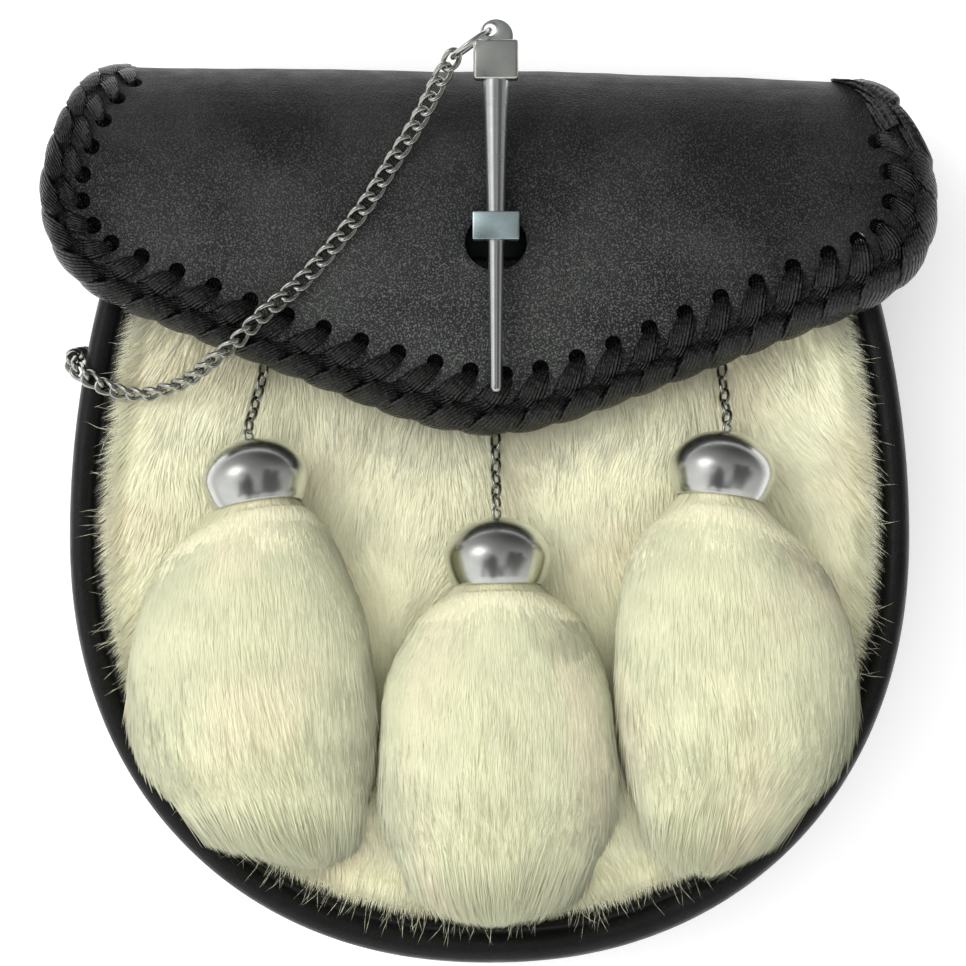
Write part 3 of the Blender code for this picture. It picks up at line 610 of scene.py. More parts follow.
@dataclass(frozen=True)
class Hair:
    """Fur hair, coloured by each hair's own attribute."""

    name: str = "fur_hair"
    roughness: float = 0.72

    def material(self) -> Material:
        """Make it."""
        nodes = Nodes(self.name)
        tint = nodes.add("ShaderNodeAttribute", attribute_name="tint").outputs["Color"]
        where = nodes.place()
        dusty = nodes.spread(nodes.noise(where, 9.0, 3.0), 0.93, 1.05)
        dust = nodes.add("ShaderNodeCombineXYZ", {0: dusty, 1: dusty, 2: dusty}).outputs[0]
        colour = nodes.add("ShaderNodeVectorMath", {0: tint, 1: dust}, operation="MULTIPLY")
        return nodes.surface(Base_Color=colour.outputs[0], Roughness=self.roughness,
                Specular_IOR_Level=0.25)


@dataclass(frozen=True)
class Underfur:
    """The felted fur below the hairs."""

    name: str = "underfur"
    deep: tuple[float, float, float] = (0.80, 0.76, 0.50)
    pale: tuple[float, float, float] = (0.92, 0.90, 0.65)

    def material(self) -> Material:
        """Make it, streaked down its length."""
        nodes = Nodes(self.name)
        drawn = nodes.add("ShaderNodeMapping",
                {"Vector": nodes.place(), "Scale": (1.0, 0.12, 0.6)}).outputs[0]
        streaks = nodes.noise(drawn, 0.55, 4.0)
        colour = nodes.blend(nodes.spread(streaks, 0.0, 1.0), rgba(self.deep), rgba(self.pale))
        return nodes.surface(Base_Color=colour, Roughness=0.9,
                Normal=nodes.bump(streaks, 0.5, 1.0))


@dataclass(frozen=True)
class Chrome:
    """Chromed metal, from mirror bright to brushed."""

    name: str
    colour: tuple[float, float, float] = (0.71, 0.72, 0.69)
    roughness: float = 0.19
    handling: float = 0.05
    brushed: float = 0.0

    def material(self) -> Material:
        """Make it, with faint handling marks and, if it is brushed, fine lines along X."""
        nodes = Nodes(self.name)
        where = nodes.place()
        marks = nodes.noise(where, 3.0, 4.0)
        rough = nodes.spread(marks, self.roughness, self.roughness + self.handling)
        tone = nodes.blend(nodes.spread(marks, 0.0, 1.0), rgba(self.colour),
                rgba([part * 0.9 for part in self.colour]))
        drawn = nodes.add("ShaderNodeMapping",
                {"Vector": where, "Scale": (0.06, 1.0, 1.0)}).outputs[0]
        lines = nodes.noise(drawn, 0.16, 3.0)
        depth = 0.004 + self.brushed
        return nodes.surface(Base_Color=tone, Metallic=1.0, Roughness=rough,
                Normal=nodes.bump(lines, depth, 0.6))


@dataclass(frozen=True)
class Thread:
    """Waxed black sewing thread."""

    name: str = "waxed_thread"

    def material(self) -> Material:
        """Make it."""
        nodes = Nodes(self.name)
        fibres = nodes.noise(nodes.place(), 0.25, 3.0)
        colour = nodes.blend(nodes.spread(fibres, 0.0, 1.0), (0.012, 0.012, 0.012, 1.0),
                (0.035, 0.034, 0.032, 1.0))
        return nodes.surface(Base_Color=colour, Roughness=0.5, Normal=nodes.bump(fibres, 0.08))


class Sky(Nodes):
    """Builds the node tree of the world."""

    def __init__(self, name: str) -> None:
        """Start from Blender's own background."""
        world = bpy.data.worlds.new(name)
        world.use_nodes = True
        bpy.context.scene.world = world
        self.tree = world.node_tree
        self.shader = self.tree.nodes["Background"]

    def surface(self, **inputs: object) -> None:
        """Feed the background."""
        self.feed(self.shader, inputs)


class FinishSet:
    """Every finish, made once."""

    def __init__(self) -> None:
        """Make the materials."""
        # the flap takes the painted light lower down
        self.flap = Leather("flap_leather", painted_light_low=1.0).material()
        self.body = Leather("body_leather", worn_and_highlight=(0.070, 0.073, 0.070), roughness=0.46,
                relief=0.12).material()
        self.rim = Leather("rim_leather", colour=(0.0042, 0.0046, 0.0043),
                worn_and_highlight=(0.010, 0.0105, 0.0098), roughness=0.38, relief=0.06,
                unevenness=0.2).material()
        self.lace = Lace().material()
        self.hair = Hair().material()
        self.underfur = Underfur().material()
        self.bright = Chrome("bright_chrome").material()
        self.shaft = Chrome("pin_chrome", colour=(0.68, 0.70, 0.69), roughness=0.22,
                handling=0.06, brushed=0.01).material()
        self.satin = Chrome("satin_chrome", colour=(0.70, 0.72, 0.68), roughness=0.26,
                handling=0.08, brushed=0.03).material()
        self.steel = Chrome("blue_steel", colour=(0.78, 0.97, 1.0), roughness=0.24,
                handling=0.08, brushed=0.02).material()
        # painted shade: the staple's stem and base plate, so that the slot round the stem reads
        # dark
        self.black = Chrome("shade_dark_steel", colour=(0.05, 0.052, 0.055), roughness=0.4,
                handling=0.1).material()
        self.wire = Chrome("chain_chrome", colour=(0.54, 0.55, 0.51), roughness=0.07,
                handling=0.08, brushed=0.016).material()
        self.thread = Thread().material()


# ---- the pouch


@dataclass
class BodyForm:
    """The outline that the pouch's leather, rim and fur share."""

    centre_y: float = -10.4
    half_width: float = 96.0
    half_height: float = 97.8
    exponent: float = 2.16
    taper: float = 0.0023
    rim_side: float = 8.9
    rim_bottom: float = 10.7

    def outline(self, inset_by: float, top_y: float, count: int) -> Rows:
        """Return the outline from its left top, round the bottom, to its right top.

        Args:
            inset_by: how far in from the pouch's edge it lies.
            top_y: the height at which it starts and ends.
            count: how many points it has.

        Returns:
            Rows of x, y.
        """
        height = np.linspace(top_y, self.centre_y, 60)[:-1]
        width = self.half_width - self.taper * (height - self.centre_y) ** 2
        left = np.stack((-width, height), axis=1)
        angle = np.linspace(math.pi, 2 * math.pi, 361)
        power = 2 / self.exponent
        across = np.sign(np.cos(angle)) * np.abs(np.cos(angle)) ** power
        below = np.stack((self.half_width * across,
                self.centre_y - self.half_height * np.abs(np.sin(angle)) ** power),
                axis=1)
        curve = resampled(np.vstack((left, below, left[::-1] * (-1, 1))), 480)
        return resampled(inset(curve, inset_by), count)

    def rim_width(self, y: Rows) -> Rows:
        """Return how wide the rim is at each height."""
        share = unit((self.centre_y - y) / self.half_height) ** 2
        return self.rim_side + (self.rim_bottom - self.rim_side) * share


@dataclass
class Pouch:
    """The leather body: its back, its side wall, its front and the rolled rim."""

    form: BodyForm = field(default_factory=BodyForm)
    wall_inset: float = 1.0
    leather: float = 2.2
    back_z: tuple[float, float] = (3.6, 6.2)
    back_top_y: float = 70.5
    wall_z: tuple[float, float] = (6.5, 36.5)
    wall_end_y: float = 70.0
    wall_slope_y: float = 47.0
    wall_end_z: float = 12.0
    front_z: tuple[float, float] = (36.8, 39.0)
    front_top_y: float = 68.0
    rim_z: float = 39.3
    rim_end_y: float = 60.0
    rim_section: tuple = (
        # share of the rim's width in from its outside, height
        (0.04, 0.0), (0.0, 1.2), (0.0, 3.0), (0.035, 4.3), (0.10, 5.3), (0.19, 5.95),
        (0.30, 6.25), (0.42, 6.2), (0.52, 5.75), (0.585, 5.1), (0.62, 4.85), (0.655, 5.15),
        (0.69, 5.65), (0.73, 5.85), (0.77, 5.65), (0.80, 5.0), (0.815, 4.0), (0.84, 2.6),
        (0.90, 1.7), (0.98, 1.5), (1.0, 0.6), (1.0, 0.0),
    )
    stitch_pitch: float = 3.7
    stitch_inset: float = 4.6

    def build(self, finishes: FinishSet) -> list[Object]:
        """Make the four pieces of the body and its stitching."""
        panels = [fitted(name, plate(self.form.outline(self.wall_inset, top_y, 200), *levels,
                rounding), finishes.body, "black_leather") for name, top_y, levels, rounding in (
                    ("back_panel", self.back_top_y, self.back_z, 0.7),
                    ("front_panel", self.front_top_y, self.front_z, 0.6))]
        return [*panels, self.wall(finishes), self.rim(finishes), self.seams(finishes)]

    def wall_top(self, y: float) -> float:
        """Return how high the side wall stands at a height up the pouch."""
        share = max(y - self.wall_slope_y, 0.0) / (self.wall_end_y - self.wall_slope_y)
        drop = 1 - math.sqrt(max(1 - share ** 2, 0.0))
        return self.wall_z[1] - (self.wall_z[1] - self.wall_end_z) * drop

    def wall(self, finishes: FinishSet) -> Object:
        """Make the side wall: a band of leather that stands round three sides."""
        outside = self.form.outline(self.wall_inset, self.wall_end_y, 220)
        normals = left_normals(outside)
        sections = []
        for (x, y), (inward_x, inward_y) in zip(outside, normals):
            low, high = self.wall_z[0], self.wall_top(y)
            rows = ((0.35, low), (0.0, low + 0.5), (0.0, high - 0.6), (0.3, high - 0.15),
                    (0.8, high), (self.leather - 0.7, high), (self.leather, high - 0.6),
                    (self.leather, low + 0.4), (self.leather - 0.3, low))
            sections.append([(x + inward_x * depth, y + inward_y * depth, z)
                    for depth, z in rows])
        return fitted("gusset", sweep(sections), finishes.body, "black_leather", 50.0)

    def rim(self, finishes: FinishSet) -> Object:
        """Make the rolled rim, with the thin bead and the recess on its inside."""
        edge = self.form.outline(0.0, self.rim_end_y, 260)
        normals = left_normals(edge)
        widths = self.form.rim_width(edge[:, 1])
        run = arc_lengths(edge)
        puckers = 0.10 * np.sin(run * 2 * math.pi / 6.2) + 0.12 * ripple(edge, 16.0, 3)
        sections = []
        for place, normal, width, pucker in zip(edge, normals, widths, puckers):
            section = []
            for share, height in self.rim_section:
                x, y = place + normal * share * width
                lift = pucker * (1.0 if 4.0 < height else 0.0)
                section.append((x, y, self.rim_z + height + lift))
            sections.append(section)
        return fitted("front_rim", sweep(sections), finishes.rim, "black_leather", 60.0)

    def seams(self, finishes: FinishSet) -> Object:
        """Make the stitching of the back and of the side wall."""
        rows = []
        paths = ((self.stitch_inset, self.back_top_y - 4.0, self.back_z[0], False),
                (self.wall_inset, self.wall_end_y - 4.0, self.wall_z[0] + 2.6, True),
                (self.wall_inset, self.wall_slope_y, self.wall_z[1] - 2.8, True))
        for inset_by, top_y, z, upright in paths:
            curve = self.form.outline(inset_by, top_y, 480)
            line = resampled(curve, int(arc_lengths(curve)[-1] / self.stitch_pitch))
            ways = np.gradient(line, axis=0)
            normals = left_normals(line)
            places = [(x, y, z) for x, y in line]
            facings = [Vector((-x, -y, 0)) if upright else -UP for x, y in normals]
            rows.append(stitches(places, [(x, y, 0) for x, y in ways], facings))
        piece = finished("seam_stitching", joined(rows), finishes.thread, 80.0)
        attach(piece, BODY)
        return piece


@dataclass
class BeltLoops:
    """The two straps on the back, each sewn down at its ends."""

    width: float = 18.0
    length: float = 88.0
    height: float = 3.3
    strap: float = 1.8
    end: float = 13.0
    across: float = 40.0
    centre_y: float = 18.0

    def build(self, finishes: FinishSet) -> list[Object]:
        """Make both straps and their stitching."""
        places = {"left": -self.across, "right": self.across}
        pieces = [self.loop(side, x, finishes) for side, x in places.items()]
        seams = finished("loop_stitching", joined(map(self.seam, places.values())),
                finishes.thread, 80.0)
        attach(seams, BODY)
        return pieces + [seams]

    def loop(self, side: str, x: float, finishes: FinishSet) -> Object:
        """Make one strap: flat underneath, and lifted off the back between its ends."""
        half = self.length / 2
        inner = half - self.end
        profile = ((-half, 0.25), (-half + 0.3, 0.0), (half - 0.3, 0.0), (half, 0.25),
                (half, self.height - 0.3), (half - 0.3, self.height),
                (inner + 2.0, self.height), (inner + 1.0, self.height - 0.15),
                (inner - 1.5, self.strap + 0.3), (inner - 3.0, self.strap),
                (3.0 - inner, self.strap), (1.5 - inner, self.strap + 0.3),
                (-inner - 1.0, self.height - 0.15), (-inner - 2.0, self.height),
                (0.3 - half, self.height), (-half, self.height - 0.3))
        strips = []
        for offset, squeeze in ((-0.5, 0.3), (-0.483, 0.0), (0.483, 0.0), (0.5, 0.3)):
            middle = self.height / 2
            strips.append([(x + offset * self.width, self.centre_y + y * (1 - squeeze * 0.01),
                    z + (0.25 * squeeze if z < middle else -0.25 * squeeze))
                    for y, z in profile])
        return fitted("belt_loop_" + side, sweep(strips), finishes.body, "black_leather", 50.0)

    def seam(self, x: float) -> BMesh:
        """Sew a box of stitches at both ends of a strap."""
        places, ways = [], []
        for end in (-1, 1):
            low = self.centre_y + end * (self.length / 2 - self.end + 4.5)
            high = self.centre_y + end * (self.length / 2 - 1.8)
            side = self.width / 2 - 1.8
            corners = [(x - side, low), (x + side, low), (x + side, high), (x - side, high),
                    (x - side, low)]
            for start, stop in zip(corners, corners[1:]):
                start, stop = np.array(start), np.array(stop)
                count = max(int(np.linalg.norm(stop - start) / 3.4), 1)
                for number in range(count):
                    middle = start + (stop - start) * (number + 0.5) / count
                    places.append((*middle, 0.12))
                    ways.append((*(stop - start), 0.0))
        return stitches(np.array(places), np.array(ways), [-UP] * len(places))


# ---- the flap


@dataclass
class FlapForm:
    """The flap's leather: where each place on the flat sheet goes once it is folded."""

    thickness: float = 2.6
    radius: float = 24.6
    fold_y: float = 70.8
    fold_z: float = 29.5
    slope: float = math.radians(2.5)
    droop: float = 0.012
    sag_right: float = 1.5    # how much lower the fold lies at its right end
    curl_left: float = 2.5
    curl_right: float = 5.5
    curl_start: float = 70.0
    reach: float = 102.0
    half_edge: tuple = (
        # along the leather, half the width over the lacing
        (-14.0, 82.0), (0.0, 86.6), (7.3, 89.6), (14.3, 93.2), (25.3, 97.6), (35.0, 100.7),
        (43.9, 101.9), (53.0, 100.0), (59.8, 96.2), (65.0, 90.4), (69.0, 82.8), (74.5, 69.0),
        (82.3, 49.2), (88.3, 33.6), (92.6, 22.0), (95.8, 11.0), (97.1, 0.0),
    )

    def __post_init__(self) -> None:
        """Work out the outline once."""
        half = [(-width, along) for along, width in self.half_edge]
        other = [(width, along) for along, width in self.half_edge[-2::-1]]
        self.edge = resampled(smooth_curve(half + other), 1400)
        self.run = arc_lengths(self.edge)
        self.inward = -left_normals(self.edge)

    def outline(self, inset_by: float, count: int) -> Rows:
        """Return the flat outline (x, along), moved inwards."""
        return resampled(self.edge + self.inward * inset_by, count)

    def from_edge(self, run: float, inward: float) -> tuple[float, float]:
        """Return the flat place that lies in from the edge at a length along it."""
        at = [float(np.interp(run, self.run, column)) for column in (*self.edge.T, *self.inward.T)]
        return at[0] + at[2] * inward, at[1] + at[3] * inward

    def fold(self, x: float, along: float, out: float) -> Vector:
        """Return where a place goes: across, along the leather, and out of its middle."""
        turned_by = 0.5 * math.pi + self.slope
        radius = self.radius + out
        angle = min(along / self.radius, turned_by)
        beyond = max(along - turned_by * self.radius, 0.0)
        y = self.fold_y + radius * math.cos(angle) - beyond * math.cos(self.slope)
        z = self.fold_z + radius * math.sin(angle) - beyond * math.sin(self.slope)
        front = min(max(along / (1.5 * self.radius), 0.0), 1.0)
        end = max(abs(x) - self.curl_start, 0.0) / (self.reach - self.curl_start)
        curl = self.curl_right if x > 0 else self.curl_left
        length = self.half_edge[-1][0]
        fall = 1 - along / length if along > 0 else max(1 + along / (1.2 * self.radius), 0.0)
        sag = self.sag_right * (max(x - 15.0, 0.0) / 65.0) ** 1.5
        return Vector((x, y - (self.droop * x + sag) * fall, z - curl * end ** 2 * front))


@dataclass
class Flap:
    """The flap, with a hole for each lace and the slot for the clasp."""

    form: FlapForm
    holes: list[tuple[float, float]]
    edge_inset: float = 2.4
    brow_half_width: float = 78.6
    seam_half_width: float = 79.6
    slot: tuple[float, float] = (1.4, 53.5)
    slot_radii: tuple[float, float] = (7.0, 6.2)
    hole_radius: float = 1.95
    hole_ring: float = 2.7         # radius of the leather's own ring of faces round a hole
    cell: float = 4.5
    dent: float = 0.8
    dent_reach: float = 4.0

    def build(self, finishes: FinishSet) -> list[Object]:
        """Make the flap."""
        shape = self.sheet()
        self.cut(shape)
        centres = finder_of((x, along, 0.0) for x, along in self.holes)
        for vert in shape.verts:
            x, along, out = vert.co
            vert.co = self.form.fold(x, along, out + self.relief(x, along, out, centres))
        return [fitted("flap", shape, finishes.flap, "black_leather", 50.0)]

    def sheet(self) -> BMesh:
        """Cut the flat sheet with its holes, as thick as the leather, in x, along and out."""
        edge = self.form.outline(self.edge_inset, 300)
        half = self.form.thickness / 2
        shape = bmesh.new()
        across = np.linspace(1.0, 0.0, 37)[1:-1]
        brow = [edge[0] + (edge[-1] - edge[0]) * share for share in across]
        outline = add_ring(shape, [(x, along, half) for x, along in [*edge, *brow]])
        rings = []
        for (x, along), radii, count, shrinks in self.openings():
            ring = add_ring(shape, [(x + px * radii[0], along + py * radii[1], half)
                    for px, py, _ in circle_points(1.0, count)])
            rings.append((ring, Vector((x, along, half)), shrinks))
        bmesh.ops.triangle_fill(shape, use_beauty=True, edges=shape.edges[:])
        for ring, centre, shrinks in rings:
            for share in shrinks:
                points = [centre + (vert.co - centre) * share for vert in ring]
                ring = pull_ring(shape, ring, points)
        self.extend(shape, [outline[0], *outline[:len(edge) - 1:-1], outline[len(edge) - 1]])
        bmesh.ops.recalc_face_normals(shape, faces=shape.faces)
        thicken(shape, shape.faces[:], (0, 0, -self.form.thickness))
        return shape

    def openings(self) -> list[tuple]:
        """Return each opening's centre, the radii round it, its count and its shrinking."""
        shrinks = (0.83, self.hole_radius / self.hole_ring / 0.83)
        rows = [(hole, (self.hole_ring, self.hole_ring), 14, shrinks) for hole in self.holes]
        slot_radii = (self.slot_radii[0] + 1.0, self.slot_radii[1] + 1.0)
        return rows + [(self.slot, slot_radii, 40, (0.91, 0.966))]

    def extend(self, shape: BMesh, brow: list[BMVert]) -> None:
        """Pull the sheet on in rows, from its brow to the seam behind the fold.

        Args:
            shape: the sheet.
            brow: the vertices across it, from left to right.
        """
        seam = -0.4 - 0.5 * math.pi * self.form.radius
        start = brow[0].co.y
        rows = 6
        for number in range(1, rows + 1):
            share = number / rows
            edges = [shape.edges.get(pair) for pair in zip(brow, brow[1:])]
            following = twins_of(shape, brow, edges)
            side = self.brow_half_width + (self.seam_half_width - self.brow_half_width) * share
            for vert, across in zip(following, np.linspace(-side, side, len(brow))):
                vert.co.x = across
                vert.co.y = start + (seam - start) * share
            brow = following

    def cut(self, shape: BMesh) -> None:
        """Cut the sheet into cells, so that it can fold and swell."""
        runs = [vert.co.y for vert in shape.verts]
        slice_up(shape, np.arange(min(runs) + self.cell / 2, max(runs), self.cell * 0.72),
                np.arange(-99.0, 99.1, self.cell), 0.02)
        bmesh.ops.triangulate(shape, faces=shape.faces[:], quad_method="BEAUTY",
                ngon_method="BEAUTY")

    def relief(self, x: float, along: float, out: float, centres: kdtree.KDTree) -> float:
        """Return how far the leather swells or sinks at a place.

        Args:
            x: the place across.
            along: the place along the leather.
            out: which of the sheet's faces it is on.
            centres: the holes' centres.

        Returns:
            Millimetres, out of the leather.
        """
        swell = 0.34 * noise.noise(Vector((x, along, 0)) / 26.0)
        swell += 0.12 * noise.noise(Vector((x, along, 40.0)) / 9.0)
        if out > 0:
            distance = centres.find((x, along, 0.0))[2]
            swell -= self.dent * math.exp(-(distance / self.dent_reach) ** 2)
            slot_x, slot_y = self.slot
            reach = math.hypot((x - slot_x) / self.slot_radii[0],
                    (along - slot_y) / self.slot_radii[1])
            swell -= 0.55 * max(0.0, 1.12 - reach) / 0.12 if reach < 1.12 else 0.0
        return swell


@dataclass
class Lacing:
    """The braid round the flap's edge: one lace from each hole, over the edge and behind."""

    form: FlapForm
    laces: int = 33
    ends: tuple[float, float] = (24.5, 324.0)      # along the edge to the first and last hole
    crowding: tuple = (
        # length along the edge, how closely the laces stand there
        (0.0, 1.22), (72.0, 1.30), (92.0, 1.0), (275.0, 1.0), (292.0, 1.14), (366.0, 1.14),
    )
    turn_length: float = 0.94      # how far each lace runs along the edge, in its own table's terms
    spread: float = 0.3       # how far the laces share the edge evenly, not the line of holes
    hole_insets: tuple = (
        # length along the edge, from the edge in to the hole
        (0.0, 10.4), (24.0, 10.4), (42.0, 9.6), (60.0, 9.2), (74.0, 10.8), (95.0, 12.6),
        (130.0, 12.5), (150.0, 13.3), (170.0, 14.6), (190.0, 13.4), (215.0, 13.0),
        (240.0, 14.4), (262.0, 15.3), (280.0, 15.2), (293.0, 13.4), (305.0, 11.4),
        (315.0, 10.5), (366.0, 10.2),
    )
    path: tuple = (
        # back along the edge, inward as a share of the hole's, out, half width, half thickness
        (0.0, 0.97, -1.7, 1.60, 0.75),
        (0.1, 0.945, -0.2, 1.75, 0.85),
        (0.6, 0.88, 1.5, 2.20, 1.05),
        (1.9, 0.765, 2.65, 2.55, 1.25),
        (3.6, 0.62, 2.90, 2.70, 1.25),
        (5.2, 0.495, 1.95, 2.60, 0.90),
        (6.9, 0.41, 1.80, 2.55, 0.90),
        (9.0, 0.335, 3.00, 2.90, 1.25),
        (11.3, 0.235, 3.45, 3.25, 1.35),
        (13.4, 0.155, 2.5, 3.45, 1.45),
        (15.0, 0.105, 1.1, 3.45, 1.60),
        (16.2, 0.100, -0.6, 3.35, 1.50),
        (17.1, 0.155, -2.0, 3.40, 1.15),
        (17.9, 0.30, -2.75, 3.60, 0.75),
        (18.8, 0.62, -2.95, 3.60, 0.70),
        (19.4, 0.95, -2.95, 3.60, 0.65),
        (19.6, 1.40, -2.80, 3.40, 0.60),
    )
    bands: tuple = (
        # what binds the edge past the laces: length along the edge, in from it, out,
        # half width, half thickness
        ((365.4, 2.6, 0.0, 1.0, 0.8), (360.0, 2.6, 0.0, 2.1, 1.4), (354.0, 2.5, 0.0, 2.4, 1.7),
         (348.0, 2.3, 0.2, 2.3, 1.7), (345.0, 2.3, 0.3, 1.4, 1.1)),
        ((352.0, 2.8, -0.4, 1.4, 1.0), (346.0, 2.7, 0.0, 2.4, 1.7), (339.0, 2.5, 0.3, 2.7, 2.0),
         (333.0, 2.2, 0.6, 2.5, 1.9), (330.0, 2.2, 0.7, 1.5, 1.2)),
        ((337.0, 3.0, -0.4, 1.6, 1.1), (330.0, 2.8, 0.2, 2.6, 2.0), (322.0, 2.5, 0.7, 2.9, 2.2),
         (314.0, 2.2, 0.9, 2.7, 2.0), (309.0, 2.2, 0.4, 1.6, 1.2)),
        ((354.0, 5.2, 1.3, 1.4, 0.4), (350.0, 6.4, 1.5, 2.2, 0.5), (344.0, 7.0, 1.7, 2.6, 0.6),
         (336.0, 7.1, 2.0, 2.8, 0.7), (329.0, 6.9, 2.2, 2.7, 0.8), (325.0, 6.7, 2.3, 2.5, 0.7)),
        ((23.0, 3.0, 0.0, 2.0, 1.6), (15.0, 2.9, 0.0, 2.6, 1.9), (7.0, 2.8, 0.0, 2.4, 1.7),
         (0.4, 2.7, 0.0, 1.0, 0.8)),
    )
    pressed: tuple = (
        # length along the edge, how much of their height the laces keep there
        (0.0, 0.22), (20.0, 0.26), (42.0, 0.55), (66.0, 1.0), (285.0, 1.0), (305.0, 0.78),
        (322.0, 0.55),
    )
    sides: int = 12

    def __post_init__(self) -> None:
        """Work out how the laces crowd and spread along the edge."""
        runs = np.linspace(0.0, self.form.run[-1], 600)
        line = np.array([self.form.from_edge(run, self.hole_inset(run)) for run in runs])
        steps = self.spread * np.diff(runs) + (1 - self.spread) * np.diff(arc_lengths(line))
        steps = steps * np.interp(runs[1:], *np.array(self.crowding).T)
        paces = np.concatenate(((0.0,), np.cumsum(steps)))
        self.runs = runs
        self.paces = paces * runs[-1] / paces[-1]

    def run_at(self, pace: float) -> float:
        """Return the length along the edge at a pace, which laces share out evenly."""
        return float(np.interp(pace, self.paces, self.runs))

    def hole_paces(self) -> list[float]:
        """Return the pace of each lace's hole."""
        first, last = np.interp(self.ends, self.runs, self.paces)
        return list(np.linspace(first, last, self.laces))

    def hole_inset(self, run: float) -> float:
        """Return how far in from the edge the hole is at a length along it."""
        rows = np.array(self.hole_insets)
        return float(np.interp(run, rows[:, 0], rows[:, 1]))

    def holes(self) -> list[tuple[float, float]]:
        """Return the flat place (x, along) of each hole."""
        runs = [self.run_at(pace) for pace in self.hole_paces()]
        return [self.form.from_edge(run, self.hole_inset(run)) for run in runs]

    def ribbon(self, rows: Rows, ribbed: float = 1.0) -> BMesh:
        """Make a lace as if the edge were straight: along, inward, and out of the leather.

        Args:
            rows: its middle line in those three, its half width and its half thickness.
            ribbed: how close its ribs are.

        Returns:
            The lace, with its map of millimetres across and along.
        """
        centreline = rows[:, :3]
        ahead = np.gradient(centreline, axis=0)
        run = arc_lengths(centreline)
        sections, marks = [], []
        for place, step, length, (half_wide, half_thick) in zip(centreline, ahead, run,
                rows[:, 3:]):
            tangent = Vector(step).normalized()
            face = Vector((0, tangent.z, -tangent.y))
            face = (face - tangent * face.dot(tangent)).normalized()
            across = tangent.cross(face)
            section = []
            for turn in np.linspace(0, 2 * math.pi, self.sides, endpoint=False):
                wide = math.copysign(abs(math.cos(turn)) ** 0.85, math.cos(turn)) * half_wide
                thick = math.sin(turn) * half_thick * (1.0 if math.sin(turn) > 0 else 0.6)
                section.append(Vector(place) + across * wide + face * thick)
                marks.append((wide * ribbed, length))
            sections.append(section)
        shape = sweep(sections)
        laid = shape.loops.layers.uv.new("lace")
        finder = finder_of(point for section in sections for point in section)
        for face in shape.faces:
            for loop in face.loops:
                loop[laid].uv = marks[finder.find(loop.vert.co)[1]]
        return shape

    def build(self, finishes: FinishSet) -> list[Object]:
        """Make every lace and bend it round the edge."""
        dice = np.random.default_rng(11)
        paces = self.hole_paces()
        reach = self.hole_inset(self.form.run[-1] / 2)
        scale = (-self.turn_length, reach, 1, 1, 1)
        strand = self.ribbon(smooth_curve(self.path, 2) * scale)
        shape = copies(strand, [Matrix.Identity(4)] * len(paces))
        shape.verts.ensure_lookup_table()
        count = len(shape.verts) // len(paces)
        for number, pace in enumerate(paces):
            bulge, slip = dice.uniform(0.92, 1.08), dice.uniform(-0.35, 0.35)
            for vert in shape.verts[number * count:(number + 1) * count]:
                along, inward, out = vert.co
                at = pace + along + slip * math.sin(min(-along, 22.0) / 22.0 * math.pi)
                if at < 4.0:
                    at = 4.0 * math.exp((at - 4.0) / 6.0)
                run = self.run_at(at)
                inward *= self.hole_inset(run) / reach if inward > 0 else 1.0
                out *= bulge if out > 1.5 else 1.0
                vert.co = self.form.fold(*self.form.from_edge(run, inward),
                        self.press(run, out))
        extras = [self.knot(*hole) for hole in self.holes()[:2] + self.holes()[-2:]]
        for rows in self.bands:
            band = self.ribbon(smooth_curve(rows, 5), 0.5)
            for vert in band.verts:
                run, inward, out = vert.co
                vert.co = self.form.fold(*self.form.from_edge(run, inward), out)
            extras.append(band)
        shape = joined((shape, *extras))
        return [fitted("flap_lacing", shape, finishes.lace, "laced_leather", 75.0)]

    def press(self, run: float, out: float) -> float:
        """Return how far out a place of a lace is, once it is pressed to the leather."""
        face = self.form.thickness / 2
        above = abs(out) - face
        if above <= 0:
            return out
        keep = float(np.interp(run, *np.array(self.pressed).T))
        return math.copysign(face + above * keep, out)

    def knot(self, x: float, along: float) -> BMesh:
        """Make the flattened knot under a hole that no later lace passes."""
        outline = [(x + px, along + py) for px, py, _ in circle_points(3.4, 20)]
        shape = plate(outline, -3.5, -2.5, 0.3)
        for vert in shape.verts:
            vert.co = self.form.fold(*vert.co)
        return shape


# ---- the clasp and its chain


@dataclass
class Link:
    """A link of chain: an oval of wire, which curb links twist to lie flat."""

    half_length: float = 2.50
    half_width: float = 1.60
    wire: float = 0.60
    twist: float = 0.64
    steps: int = 32
    sides: int = 10

    def shape(self) -> BMesh:
        """Make one link at the origin, with its length along X."""
        turn = np.linspace(0, 2 * math.pi, self.steps, endpoint=False)
        line = np.stack((self.half_length * np.cos(turn), self.half_width * np.sin(turn),
                self.twist * np.sin(2 * turn)), axis=1)
        return wire_loop(line, self.wire, self.sides)


def link_frames(route: Sequence, pitch: float) -> list[Matrix]:
    """Set links along a route.

    Args:
        route: rows of x, y, z and the x, y, z of the side that faces out.
        pitch: from each link to the next.

    Returns:
        The place of each link.
    """
    curve = smooth_curve(route, 24)
    run = arc_lengths(curve[:, :3])
    frames = []
    for number in range(int(run[-1] / pitch) + 1):
        where = [np.interp(number * pitch + step, run, column)
                for step in (-0.5, 0.5) for column in curve.T]
        behind, ahead = Vector(where[:3]), Vector(where[6:9])
        if number == 0:
            behind = Vector(curve[0, :3]) * 2 - ahead
        frames.append(frame_at((behind + ahead) / 2, ahead - behind, Vector(where[3:6])))
    return frames


def wire_eye(centre: Vector, facing: Vector, along: Vector) -> BMesh:
    """Make a wire eye along a chain, with its ring turned across the next link's end."""
    shape = wire_loop(circle_points(EYE_RADIUS, 28), EYE_WIRE, 10)
    lean = math.atan2(1.12, 1.6)
    across = Matrix.Rotation(lean, 3, along) @ facing.cross(along)
    shape.transform(frame_at(centre, along, across))
    return shape


